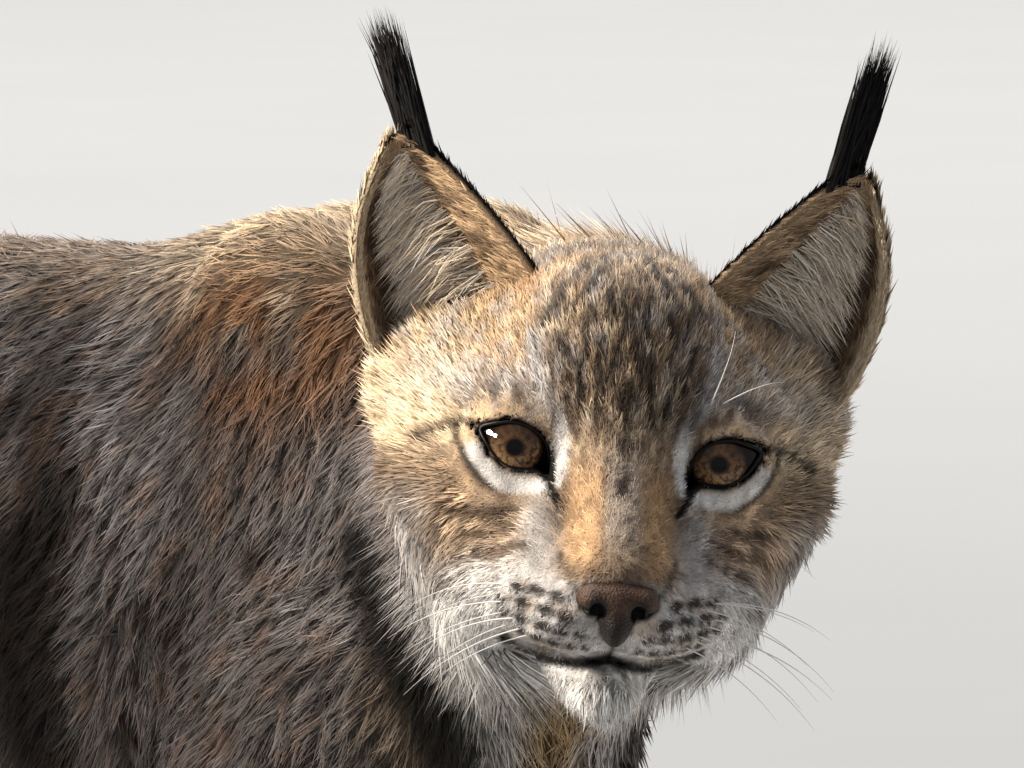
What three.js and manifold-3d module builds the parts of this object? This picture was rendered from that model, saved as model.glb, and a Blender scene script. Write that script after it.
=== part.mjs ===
// A Eurasian lynx, life size, standing with its head lowered and turned to its right.
//
// Millimetres, +Z up, the floor at Z = 0. The body lies along X with the head end at +X, and the
// animal's left is +Y. The flesh is one smooth distance function, negative inside: each part is
// meshed from it on a grid of its own fineness and parted from its neighbour by a thin cut.
import * as THREE from 'three';
import { mergeVertices } from 'three/addons/utils/BufferGeometryUtils.js';
import Module from 'manifold-3d';

const wasm = await Module();
wasm.setup();

// Driving dimensions
const withersHeight = 643; // top of the back between the shoulder blades, coat included
const rumpHeight = 634;
const bodyWidth = 196; // across the ribs
const frontStance = 64; // from the middle plane to the middle of a forefoot
const hindStance = 70;
const eyeHeight = 579;
const eyeSpacing = 64; // between the two pupils
const eyeRadius = 15.5;
const tailLength = 175;
const jointGap = 0.35; // air left between two parts that touch

// The head's own frame: its origin is midway between the eyes, X forward, Y left, Z up
const eyesAt = new THREE.Vector3(253, -110, eyeHeight);
const headTurn = -35.5; // degrees about Z, to the animal's right
const headLift = 5; // degrees, nose up
const headLean = -5.3; // degrees about the head's own X, left side down

// How far each foot is set forward of its natural place, in a slow walking stance
const step = { frontRight: 42, frontLeft: -34, hindRight: -40, hindLeft: 46 };

// Small helpers on numbers and points
const mix = (a, b, t) => a + (b - a) * t;
const radians = (degrees) => THREE.MathUtils.degToRad(degrees);
const point = (x, y, z) => new THREE.Vector3(x, y, z);

// Distance to an oval, from coordinates along its three axes and its half sizes along them.
function oval(u, v, w, ru, rv, rw) {
  const near = Math.sqrt((u / ru) ** 2 + (v / rv) ** 2 + (w / rw) ** 2);
  const slope = Math.sqrt((u / (ru * ru)) ** 2 + (v / (rv * rv)) ** 2 + (w / (rw * rw)) ** 2);
  return slope < 1e-9 ? -Math.min(ru, rv, rw) : (near * (near - 1)) / slope;
}

// An egg-shaped muscle: its middle, and its half sizes along X, Y and Z.
function egg([cx, cy, cz], [rx, ry, rz]) {
  return (x, y, z) => oval(x - cx, y - cy, z - cz, rx, ry, rz);
}

// One section of a limb or of the trunk: its middle, its half width along `side` and its half depth.
const section = (x, y, z, wide, deep) => ({ at: point(x, y, z), wide, deep });

// The stretch between two sections.
function stretch(a, b, side) {
  const axis = b.at.clone().sub(a.at);
  const length = axis.length();
  const dir = axis.normalize();
  const across = side.clone().addScaledVector(dir, -side.dot(dir)).normalize();
  const third = dir.clone().cross(across);
  return (x, y, z) => {
    const px = x - a.at.x;
    const py = y - a.at.y;
    const pz = z - a.at.z;
    const along = px * dir.x + py * dir.y + pz * dir.z;
    const t = Math.min(1, Math.max(0, along / length));
    const wide = mix(a.wide, b.wide, t);
    const deep = mix(a.deep, b.deep, t);
    const u = px * across.x + py * across.y + pz * across.z;
    const v = px * third.x + py * third.y + pz * third.z;
    return oval(u, v, along - t * length, wide, deep, Math.min(wide, deep));
  };
}

// Joins shapes with a fillet about `soft` wide.
function blend(soft, ...shapes) {
  return (x, y, z) => {
    let d = shapes[0](x, y, z);
    for (let i = 1; i < shapes.length; i++) {
      const e = shapes[i](x, y, z);
      const h = Math.max(soft - Math.abs(d - e), 0) / soft;
      d = Math.min(d, e) - (h * h * soft) / 4;
    }
    return d;
  };
}

// A limb along a smooth curve through its sections, their half sizes eased from one to the next.
function limb(side, sections, pieces = 4) {
  const middles = new THREE.CatmullRomCurve3(sections.map((one) => one.at), false, 'catmullrom', 0.5);
  const halves = sections.map((one) => point(one.wide, one.deep, 0));
  const sizes = new THREE.CatmullRomCurve3(halves, false, 'catmullrom', 0.5);
  const count = pieces * (sections.length - 1);
  const stops = [];
  for (let i = 0; i <= count; i++) {
    const size = sizes.getPoint(i / count);
    stops.push({ at: middles.getPoint(i / count), wide: size.x, deep: size.y });
  }
  const stretches = stops.slice(1).map((b, i) => stretch(stops[i], b, side));
  return (x, y, z) => {
    let d = Infinity;
    for (const one of stretches) d = Math.min(d, one(x, y, z));
    return d;
  };
}

const both = (make) => [make(1), make(-1)]; // the left and the right one
const SIDEWAYS = point(0, 1, 0);

// The trunk, from the breast to the rump
const backSection = (x, top, bottom, wide) =>
  section(x, 0, (top + bottom) / 2, wide, (top - bottom) / 2);
const ribs = bodyWidth / 2;
const trunk = limb(SIDEWAYS, [
  backSection(66, withersHeight - 66, 408, ribs - 50),
  backSection(28, withersHeight - 22, 386, ribs - 34),
  backSection(-20, withersHeight - 2, 374, ribs - 22),
  backSection(-100, withersHeight - 17, 368, ribs - 4),
  backSection(-190, withersHeight - 21, 374, ribs),
  backSection(-290, rumpHeight - 11, 396, ribs - 6),
  backSection(-380, rumpHeight + 2, 424, ribs - 12),
  backSection(-450, rumpHeight - 6, 462, ribs - 22),
  backSection(-500, rumpHeight - 32, 496, ribs - 44),
]);
const bladeTops = both((s) => egg([4, s * 42, withersHeight - 70], [58, 31, 70]));
const breast = egg([72, 0, 452], [46, 34, 58]);

// The neck, from the withers to the back of the head
const neckFlesh = limb(SIDEWAYS, [
  section(10, 0, 534, 66, 100),
  section(84, -10, 546, 62, 88),
  section(140, -32, 562, 61, 76),
  section(180, -58, 568, 60, 70),
]);

// A foreleg: shoulder, elbow, wrist and ankle. `s` is 1 on the left and -1 on the right.
function frontLegFlesh(s, stepped) {
  return limb(SIDEWAYS, [
    section(34 + 0.3 * stepped, s * 46, 500, 34, 58),
    section(8 + 0.15 * stepped, s * 58, 420, 36, 54),
    section(-6 + 0.3 * stepped, s * frontStance, 362, 34, 44),
    section(8 + 0.6 * stepped, s * frontStance, 250, 31, 35),
    section(18 + 0.9 * stepped, s * frontStance, 138, 29, 32),
    section(24 + stepped, s * frontStance, 90, 31, 33),
    section(40 + stepped, s * frontStance, 42, 36, 32),
  ]);
}

// A hind leg: hip, knee, hock and the long foot bones.
function hindLegFlesh(s, stepped) {
  return blend(
    30,
    egg([-432 + 0.1 * stepped, s * 52, 512], [88, 44, 106]),
    limb(SIDEWAYS, [
      section(-412 + 0.15 * stepped, s * 56, 480, 42, 84),
      section(-388 + 0.3 * stepped, s * 66, 392, 40, 66),
      section(-414 + 0.45 * stepped, s * hindStance, 322, 35, 52),
      section(-486 + 0.75 * stepped, s * hindStance, 240, 28, 35),
      section(-520 + 0.9 * stepped, s * hindStance, 198, 27, 33),
      section(-514 + 0.95 * stepped, s * hindStance, 140, 27, 28),
      section(-504 + stepped, s * hindStance, 84, 30, 30),
      section(-488 + stepped, s * hindStance, 42, 35, 31),
    ]),
  );
}

// A broad snowshoe paw: the main pad and the foot over it, then four toes in an arc.
const toeHalf = { long: 25, wide: 14.5, high: 19 };
const toes = [
  { aside: -31, ahead: 22, turn: -14 },
  { aside: -11, ahead: 37, turn: -4 },
  { aside: 11, ahead: 37, turn: 4 },
  { aside: 31, ahead: 22, turn: 14 },
];
const pawFlesh = (x, y) => egg([x, y, 24], [44, 40, 33]);
const frontPawX = (stepped) => 46 + stepped;
const hindPawX = (stepped) => -482 + stepped;

// The short tail, hanging from the rump with a full, blunt tip
const tailRoot = point(-520, 0, 584);
const tailFlesh = limb(SIDEWAYS, [
  section(tailRoot.x, 0, tailRoot.z, 34, 34),
  section(tailRoot.x - 0.26 * tailLength, 0, tailRoot.z - 0.14 * tailLength, 33, 33),
  section(tailRoot.x - 0.42 * tailLength, 0, tailRoot.z - 0.44 * tailLength, 33, 33),
  section(tailRoot.x - 0.47 * tailLength, 0, tailRoot.z - 0.8 * tailLength, 30, 30),
]);

// The head, in its own frame
const eyeHalf = eyeSpacing / 2;
const eyeDepth = -3.5; // the eyeball's middle, behind the head frame's origin
const skull = blend(
  20,
  egg([-52, 0, 14], [58, 55, 50]),
  egg([-30, 0, 14], [42, 42, 40]),
  egg([-84, 0, 0], [38, 54, 50]),
  ...both((s) => egg([-60, s * 50, 16], [26, 28, 28])),
);
const browRidges = both((s) =>
  stretch(section(3, s * 19, 14, 9, 9), section(-14, s * 44, 15, 9, 9), point(0, 0, 1)),
);
const cheekBones = both((s) =>
  stretch(section(2, s * 34, -20, 12, 11), section(-38, s * 55, -8, 18, 19), point(0, 0, 1)),
);
const cheeks = both((s) => egg([-42, s * 39, -12], [42, 30, 38]));
const jowls = both((s) => egg([-20, s * 30, -43], [36, 23, 23]));
const noseBridge = stretch(section(4, 0, 11, 17, 12), section(43, 0, -36, 14, 11), SIDEWAYS);
const muzzle = egg([14, 0, -42], [36, 27, 22]);
const whiskerPads = both((s) => egg([32, s * 13.5, -51], [18, 16, 12]));
// The slopes from the nose bridge down to the cheeks, and from the muzzle back to the jowls
const noseSlopes = both((s) => egg([6, s * 19, -21], [19, 13, 17]));
const muzzleSlopes = both((s) => egg([15, s * 25, -43], [21, 15, 18]));
const chin = stretch(section(-12, 0, -62, 28, 16), section(29, 0, -71, 14, 11.5), SIDEWAYS);
const lidBalls = both((s) => egg([eyeDepth, s * eyeHalf, 0], [18.2, 18.2, 18.2]));
const headFlesh = blend(
  6,
  blend(
    11,
    blend(20, skull, ...cheeks),
    ...browRidges,
    ...cheekBones,
    ...jowls,
    noseBridge,
    muzzle,
    ...whiskerPads,
    ...noseSlopes,
    ...muzzleSlopes,
  ),
  chin,
  ...lidBalls,
);

// Frames: a point of the world in the head's frame, and back
const headToWorld = new THREE.Matrix4().compose(
  eyesAt,
  new THREE.Quaternion().setFromEuler(
    new THREE.Euler(radians(headLean), radians(-headLift), radians(headTurn), 'ZYX'),
  ),
  point(1, 1, 1),
);
const worldToHead = headToWorld.clone().invert();

// A shape given in one frame, read at points of another.
function seenFrom(matrix, shape) {
  const m = matrix.elements;
  return (x, y, z) =>
    shape(
      m[0] * x + m[4] * y + m[8] * z + m[12],
      m[1] * x + m[5] * y + m[9] * z + m[13],
      m[2] * x + m[6] * y + m[10] * z + m[14],
    );
}

// All the flesh, in the world's frame
const legs = [
  { name: 'front_right', front: true, s: -1, stepped: step.frontRight },
  { name: 'front_left', front: true, s: 1, stepped: step.frontLeft },
  { name: 'hind_right', front: false, s: -1, stepped: step.hindRight },
  { name: 'hind_left', front: false, s: 1, stepped: step.hindLeft },
];
for (const leg of legs) {
  leg.shape = (leg.front ? frontLegFlesh : hindLegFlesh)(leg.s, leg.stepped);
  leg.footX = leg.front ? frontPawX(leg.stepped) : hindPawX(leg.stepped);
  leg.footY = leg.s * (leg.front ? frontStance : hindStance);
  leg.paw = pawFlesh(leg.footX, leg.footY);
}
const headInWorld = seenFrom(worldToHead, headFlesh);
const trunkFlesh = blend(24, trunk, ...bladeTops, breast, neckFlesh);
const bodyFlesh = blend(24, trunkFlesh, tailFlesh, ...legs.map((leg) => leg.shape));
const neckAndHead = blend(20, trunkFlesh, headInWorld);
const headWithNeck = seenFrom(headToWorld, neckAndHead);

// Grid lines along one axis: [from, to, step] for each stretch of even spacing.
function gridLines(...stretches) {
  const lines = [stretches[0][0]];
  for (const [from, to, spacing] of stretches) {
    const count = Math.max(1, Math.round((to - from) / spacing));
    for (let i = 1; i <= count; i++) lines.push(mix(from, to, i / count));
  }
  return lines;
}

// A point moved down or up the distance to the surface itself, without leaving its grid cell.
function ontoSurface(shape, start, low, high) {
  let p = start;
  const h = 0.2;
  for (let turn = 0; turn < 3; turn++) {
    const [x, y, z] = p;
    const d = shape(x, y, z);
    const slope = [
      (shape(x + h, y, z) - shape(x - h, y, z)) / (2 * h),
      (shape(x, y + h, z) - shape(x, y - h, z)) / (2 * h),
      (shape(x, y, z + h) - shape(x, y, z - h)) / (2 * h),
    ];
    const steep = Math.max(0.3, slope[0] ** 2 + slope[1] ** 2 + slope[2] ** 2);
    p = p.map((v, i) => {
      const margin = 0.04 * (high[i] - low[i]);
      return THREE.MathUtils.clamp(v - (d * slope[i]) / steep, low[i] + margin, high[i] - margin);
    });
  }
  return p;
}

// A grid cell has corners 0 to 7, counted by bits: 1 along X, 2 along Y and 4 along Z. Its edge number
// 4 * axis + n lies along that axis, n counting the other two axes' ends in the same way.
const cornerSteps = [0, 1, 2, 3, 4, 5, 6, 7].map((n) => [n & 1, (n >> 1) & 1, n >> 2]);
const cellEdges = [0, 1, 2].flatMap((axis) => {
  const [one, two] = [1, 2, 4].filter((bit) => bit !== 1 << axis);
  return [0, one, two, one + two].map((corner) => [corner, corner + (1 << axis)]);
});
const edgeBetween = (a, b) =>
  cellEdges.findIndex(([m, n]) => (m === a && n === b) || (m === b && n === a));
const cellFaces = [0, 1, 2].flatMap((axis) => {
  const [one, two] = [1, 2, 4].filter((bit) => bit !== 1 << axis);
  return [0, 1 << axis].map((corner) => [corner, corner + one, corner + one + two, corner + two]);
});
const faceEdges = cellFaces.map((face) => face.map((corner, i) => edgeBetween(corner, face[(i + 1) % 4])));

// Groups a cell's crossed edges into the separate sheets of surface that pass through it: for each
// edge the number of its sheet, or -1. On a face with two corners inside, each is cut off alone.
function sheetsOf(inside) {
  const sheet = cellEdges.map(([a, b], i) => (inside[a] === inside[b] ? -1 : i));
  const link = (a, b) => {
    const [from, to] = [Math.max(sheet[a], sheet[b]), Math.min(sheet[a], sheet[b])];
    for (let i = 0; i < 12; i++) if (sheet[i] === from) sheet[i] = to;
  };
  cellFaces.forEach((face, f) => {
    const crossed = faceEdges[f].filter((edge) => sheet[edge] >= 0);
    if (crossed.length === 2) link(crossed[0], crossed[1]);
    if (crossed.length === 4)
      face.forEach((corner, i) => {
        if (inside[corner]) link(faceEdges[f][i], faceEdges[f][(i + 3) % 4]);
      });
  });
  return sheet;
}

// The closed surface where a distance function is zero: one point for each sheet in each grid cell,
// and four of them joined round each grid edge that the surface crosses.
function surfaceOf(shape, xs, ys, zs) {
  const [nx, ny, nz] = [xs.length, ys.length, zs.length];
  const at = (i, j, k) => (k * ny + j) * nx + i;
  const values = new Float64Array(nx * ny * nz);
  for (let k = 0; k < nz; k++)
    for (let j = 0; j < ny; j++)
      for (let i = 0; i < nx; i++) {
        const edge = i === 0 || j === 0 || k === 0 || i === nx - 1 || j === ny - 1 || k === nz - 1;
        const d = shape(xs[i], ys[j], zs[k]);
        values[at(i, j, k)] = edge ? Math.max(d, 0.5) : d;
      }
  const pointOf = new Int32Array(12 * nx * ny * nz).fill(-1);
  const positions = [];
  for (let k = 0; k < nz - 1; k++)
    for (let j = 0; j < ny - 1; j++)
      for (let i = 0; i < nx - 1; i++) {
        const corners = cornerSteps.map(([di, dj, dk]) => [i + di, j + dj, k + dk]);
        const levels = corners.map((c) => values[at(...c)]);
        const sheets = sheetsOf(levels.map((level) => level < 0));
        const atEdge = i < 1 || j < 1 || k < 1 || i > nx - 3 || j > ny - 3 || k > nz - 3;
        for (const sheet of new Set(sheets)) {
          if (sheet < 0) continue;
          const mean = [0, 0, 0];
          const members = [...sheets.keys()].filter((edge) => sheets[edge] === sheet);
          for (const edge of members) {
            const [a, b] = cellEdges[edge];
            const t = levels[a] / (levels[a] - levels[b]);
            mean[0] += mix(xs[corners[a][0]], xs[corners[b][0]], t) / members.length;
            mean[1] += mix(ys[corners[a][1]], ys[corners[b][1]], t) / members.length;
            mean[2] += mix(zs[corners[a][2]], zs[corners[b][2]], t) / members.length;
            pointOf[12 * at(i, j, k) + edge] = positions.length / 3;
          }
          const low = [xs[i], ys[j], zs[k]];
          const high = [xs[i + 1], ys[j + 1], zs[k + 1]];
          positions.push(...(atEdge ? mean : ontoSurface(shape, mean, low, high)));
        }
      }
  const index = [];
  const cornerOf = (n) => point(positions[3 * n], positions[3 * n + 1], positions[3 * n + 2]);
  const quad = (a, b, c, d, turned) => {
    const face = turned ? [a, d, c, b] : [a, b, c, d];
    const [p, q, r, t] = face.map(cornerOf);
    const f = p.distanceToSquared(r) <= q.distanceToSquared(t) ? face : [...face.slice(1), face[0]];
    index.push(f[0], f[1], f[2], f[0], f[2], f[3]);
  };
  const by = (i, j, k, edge) => pointOf[12 * at(i, j, k) + edge];
  for (let k = 0; k < nz - 1; k++)
    for (let j = 0; j < ny - 1; j++)
      for (let i = 0; i < nx - 1; i++) {
        const inside = values[at(i, j, k)] < 0;
        const out = !inside;
        if (j && k && inside !== values[at(i + 1, j, k)] < 0)
          quad(by(i, j - 1, k - 1, 3), by(i, j, k - 1, 2), by(i, j, k, 0), by(i, j - 1, k, 1), out);
        if (i && k && inside !== values[at(i, j + 1, k)] < 0)
          quad(by(i - 1, j, k - 1, 7), by(i - 1, j, k, 5), by(i, j, k, 4), by(i, j, k - 1, 6), out);
        if (i && j && inside !== values[at(i, j, k + 1)] < 0)
          quad(by(i - 1, j - 1, k, 11), by(i, j - 1, k, 10), by(i, j, k, 8), by(i - 1, j, k, 9), out);
      }
  const geometry = new THREE.BufferGeometry();
  geometry.setAttribute('position', new THREE.Float32BufferAttribute(positions, 3));
  geometry.setIndex(index);
  return geometry;
}

// Geometry to a solid that can be joined and cut, and back
function solidFrom(geometry) {
  const bare = geometry.clone();
  bare.deleteAttribute('normal');
  bare.deleteAttribute('uv');
  const merged = mergeVertices(bare, 1e-4);
  return new wasm.Manifold(
    new wasm.Mesh({
      numProp: 3,
      vertProperties: new Float32Array(merged.attributes.position.array),
      triVerts: new Uint32Array(merged.index.array),
    }),
  );
}
function geometryFrom(solid) {
  const mesh = solid.getMesh();
  const positions = [];
  for (let i = 0; i < mesh.numVert; i++)
    positions.push(...mesh.vertProperties.subarray(i * mesh.numProp, i * mesh.numProp + 3));
  const geometry = new THREE.BufferGeometry();
  geometry.setAttribute('position', new THREE.Float32BufferAttribute(positions, 3));
  geometry.setIndex(Array.from(mesh.triVerts));
  return geometry;
}
const largest = (solid) => solid.decompose().sort((a, b) => b.volume() - a.volume())[0];
const join = (solids) => solids.reduce((whole, one) => whole.add(one));

// A box, from its lowest and highest corners.
function block(low, high) {
  const size = high.clone().sub(low);
  const box = new THREE.BoxGeometry(size.x, size.y, size.z);
  const middle = low.clone().add(high).multiplyScalar(0.5);
  return box.translate(middle.x, middle.y, middle.z);
}

// An oval ball, `more` millimetres larger all round where it has to leave room for its neighbour.
function ball([cx, cy, cz], [rx, ry, rz], more = 0, around = 18, upward = 12) {
  return new THREE.SphereGeometry(1, around, upward)
    .scale(rx + more, ry + more, rz + more)
    .translate(cx, cy, cz);
}

// The same solid with each point moved out along its normal, for a clearance all round.
function grown(geometry, by) {
  const bare = geometry.clone();
  bare.deleteAttribute('normal');
  bare.deleteAttribute('uv');
  const merged = mergeVertices(bare, 1e-4);
  merged.computeVertexNormals();
  const { position, normal } = merged.attributes;
  for (let i = 0; i < position.count; i++)
    position.setXYZ(
      i,
      position.getX(i) + normal.getX(i) * by,
      position.getY(i) + normal.getY(i) * by,
      position.getZ(i) + normal.getZ(i) * by,
    );
  return merged;
}

// What each leg's node takes of the flesh: an oval cap over the shoulder or hip, and all below it.
const legCaps = {
  front: { middle: [18, 96, 440], half: [80, 66, 112], below: 356, reach: [-130, 170] },
  hind: { middle: [-430, 100, 500], half: [104, 64, 124], below: 392, reach: [-640, -290] },
};
function legCutter(leg, more) {
  const cap = leg.front ? legCaps.front : legCaps.hind;
  const [cx, cy, cz] = cap.middle;
  const dome = new THREE.IcosahedronGeometry(1, 1)
    .scale(...cap.half.map((r) => r + more))
    .translate(cx + 0.2 * leg.stepped, leg.s * cy, cz);
  const inner = 3;
  const outer = 200;
  const low = point(cap.reach[0], leg.s > 0 ? inner : -outer, -20);
  const high = point(cap.reach[1], leg.s > 0 ? outer : -inner, cap.below + more);
  return solidFrom(dome).add(solidFrom(block(low, high)));
}

const pawTop = 66; // height of the cut between a leg and its paw

const coat = (color, roughness = 0.9) => new THREE.MeshStandardMaterial({ color, roughness, metalness: 0 });
const materials = {
  head: coat('#a8835c'),
  body: coat('#9c8468'),
  leg: coat('#a58c6b'),
  paw: coat('#b49d80'),
  tail: coat('#7b664f'),
  ear: coat('#8f7457'),
  eye: new THREE.MeshStandardMaterial({ color: '#7d5c38', roughness: 0.1, metalness: 0 }),
  nose: new THREE.MeshStandardMaterial({ color: '#4a3833', roughness: 0.45, metalness: 0 }),
};

const lynx = new THREE.Group();
function node(name, geometry, material, parent = lynx) {
  const mesh = new THREE.Mesh(geometry, material);
  mesh.name = name;
  parent.add(mesh);
  return mesh;
}
const headGroup = new THREE.Group();
headGroup.applyMatrix4(headToWorld);
lynx.add(headGroup);

// Numbers between 0 and 1 that come out the same each time, for the scatter of the coat.
function scatter(seed) {
  let state = seed;
  return () => {
    state = (state * 1664525 + 1013904223) % 4294967296;
    return state / 4294967296;
  };
}

// A lock of hair: a flat, tapered blade. It leaves its root along `rise`, bends over to `lie`, and
// its root is sunk into what it grows from. `flat` is the direction across the blade.
const lockStops = [0, 0.36, 0.7];
function lock({ root, rise, lie, flat, length, wide, thick, sink = 5 }) {
  const start = root.clone().addScaledVector(rise, -sink);
  const knee = root.clone().addScaledVector(rise, 0.36 * length);
  const tip = knee.clone().addScaledVector(lie, 0.7 * length);
  const path = new THREE.QuadraticBezierCurve3(start, knee, tip);
  const positions = [];
  for (const t of lockStops) {
    const on = path.getPoint(t);
    const along = path.getTangent(t);
    const across = flat.clone().addScaledVector(along, -flat.dot(along)).normalize();
    const up = along.clone().cross(across);
    const w = 0.5 * wide * Math.pow(1 - t, 0.7) * (0.85 + 0.3 * Math.sin(Math.PI * t));
    const h = 0.5 * thick * mix(1, 0.6, t);
    const ring = [[w, 0], [0, h], [-w, 0], [0, -h]];
    for (const [m, n] of ring)
      positions.push(...on.clone().addScaledVector(across, m).addScaledVector(up, n).toArray());
  }
  positions.push(...path.getPoint(1).toArray());
  const last = 4 * lockStops.length;
  const index = [0, 2, 1, 0, 3, 2];
  for (let i = 0; i < lockStops.length - 1; i++)
    for (let j = 0; j < 4; j++) {
      const [a, b] = [4 * i + j, 4 * i + ((j + 1) % 4)];
      index.push(a, b, b + 4, a, b + 4, a + 4);
    }
  for (let j = 0; j < 4; j++) index.push(last - 4 + j, last - 4 + ((j + 1) % 4), last);
  const geometry = new THREE.BufferGeometry();
  geometry.setAttribute('position', new THREE.Float32BufferAttribute(positions, 3));
  geometry.setIndex(index);
  return geometry;
}

// The outward direction of a shape's surface at a point.
function normalAt(shape, p) {
  const h = 0.5;
  return point(
    shape(p.x + h, p.y, p.z) - shape(p.x - h, p.y, p.z),
    shape(p.x, p.y + h, p.z) - shape(p.x, p.y - h, p.z),
    shape(p.x, p.y, p.z + h) - shape(p.x, p.y, p.z - h),
  ).normalize();
}

// Where a ray from inside a shape comes out.
function comeOut(shape, from, direction) {
  const p = from.clone();
  for (let i = 0; i < 200 && shape(p.x, p.y, p.z) < -0.05; i++)
    p.addScaledVector(direction, Math.max(0.1, -0.6 * shape(p.x, p.y, p.z)));
  return p;
}

// One lock on a shape: it roots where the ray from `from` comes out, and lies along `lie`. `proud`
// says how much it stands off the surface: 0 flat, 1 straight out.
function lockOn(shape, { from, out, lie, proud, size, random }) {
  const root = comeOut(shape, from, out.clone().normalize());
  const normal = normalAt(shape, root);
  const jitter = () => 2 * random() - 1;
  const lean = lie.clone().add(point(jitter(), jitter(), jitter()).multiplyScalar(0.16)).normalize();
  const flatLie = lean.clone().addScaledVector(normal, -lean.dot(normal)).normalize();
  const rise = flatLie.clone().lerp(normal, 0.2 + 0.5 * proud).normalize();
  const bend = flatLie.clone().lerp(normal, 0.2 * proud).lerp(lean, 0.6).normalize();
  return lock({
    root,
    rise,
    lie: bend,
    flat: normal.clone().cross(flatLie).normalize(),
    length: size.long * (0.82 + 0.36 * random()),
    wide: size.wide * (0.85 + 0.3 * random()),
    thick: size.thick,
  });
}

// The locks' sizes
const ruffLock = { long: 43, wide: 27, thick: 6 };
const chinLock = { long: 15, wide: 12, thick: 4.5, count: 5 };
const breastLock = { long: 44, wide: 32, thick: 7, rows: 3, aside: 1 };
const bellyLock = { long: 50, wide: 44, thick: 8, count: 7 };
const thighLock = { long: 44, wide: 34, thick: 8, count: 4 };
const tailLock = { long: 24, wide: 24, thick: 7, count: 7 };
const tuftLength = 40;
const earTuftLock = { wide: 8.5, thick: 3, count: 5 };
const earHairLock = { reach: 0.78, wide: 17, thick: 2.2, count: 4 };
const goldenAngle = Math.PI * (3 - Math.sqrt(5)); // spreads one thing after another evenly round a ring

// Trunk
const trunkGrid = surfaceOf(
  bodyFlesh,
  gridLines([-620, 0, 42], [0, 170, 30]),
  gridLines([-130, 130, 33]),
  gridLines([330, 690, 33]),
);
const neckCut = { x: 108, z: 560, turn: -14, lean: 22 }; // the plane between trunk and neck
const headCut = -84; // the plane between neck and head, along the head's X
const tailCut = -556;

function halfSpace(matrix, from, to) {
  return solidFrom(block(point(from, -400, -500), point(to, 400, 500)).applyMatrix4(matrix));
}
const neckPlane = new THREE.Matrix4()
  .makeTranslation(neckCut.x, 0, neckCut.z)
  .multiply(new THREE.Matrix4().makeRotationZ(radians(neckCut.turn)))
  .multiply(new THREE.Matrix4().makeRotationY(radians(-neckCut.lean)));
const aheadOfNeckCut = (by) => halfSpace(neckPlane, by, 600);
const legRoom = join(legs.map((leg) => legCutter(leg, jointGap)));
const behindTailCut = (by) => solidFrom(block(point(-900, -200, 300), point(tailCut - by, 200, 800)));

const trunkRandom = scatter(11);
const trunkLocks = [];
for (let i = 0; i < bellyLock.count; i++) {
  const t = i / (bellyLock.count - 1);
  for (const s of [-1, 1])
    trunkLocks.push(
      lockOn(trunkFlesh, {
        from: point(mix(-40, -330, t), s * mix(10, 22, trunkRandom()), 450),
        out: point(0, s * 0.3, -1),
        lie: point(-0.75, s * 0.1, -0.5),
        proud: 0.3,
        size: bellyLock,
        random: trunkRandom,
      }),
    );
}
for (let row = 0; row < breastLock.rows; row++)
  for (let i = -breastLock.aside; i <= breastLock.aside; i++)
    trunkLocks.push(
      lockOn(trunkFlesh, {
        from: point(60, i * 10 + (row % 2) * 5, 505 - 26 * row),
        out: point(1, i * 0.35, -0.35 - 0.3 * row),
        lie: point(0.1, i * 0.2, -1),
        proud: 0.3,
        size: breastLock,
        random: trunkRandom,
      }),
    );
const trunkSolid = largest(
  solidFrom(trunkGrid)
    .subtract(aheadOfNeckCut(0))
    .subtract(behindTailCut(0))
    .add(join(trunkLocks.map(solidFrom)))
    .subtract(aheadOfNeckCut(-0.02))
    .subtract(legRoom),
);
node('torso', geometryFrom(trunkSolid), materials.body);
const trunkRoom = solidFrom(grown(geometryFrom(trunkSolid), jointGap)).add(trunkSolid);

// Neck
const neckGrid = surfaceOf(
  neckAndHead,
  gridLines([30, 300, 22]),
  gridLines([-190, 110, 22]),
  gridLines([380, 700, 22]),
);
const aheadOfHeadCut = (by) => halfSpace(headToWorld, headCut + by, 600);
const neckSolid = largest(
  solidFrom(neckGrid)
    .intersect(aheadOfNeckCut(jointGap))
    .subtract(aheadOfHeadCut(-jointGap))
    .subtract(legRoom),
);
node('neck', geometryFrom(neckSolid), materials.body);

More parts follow.
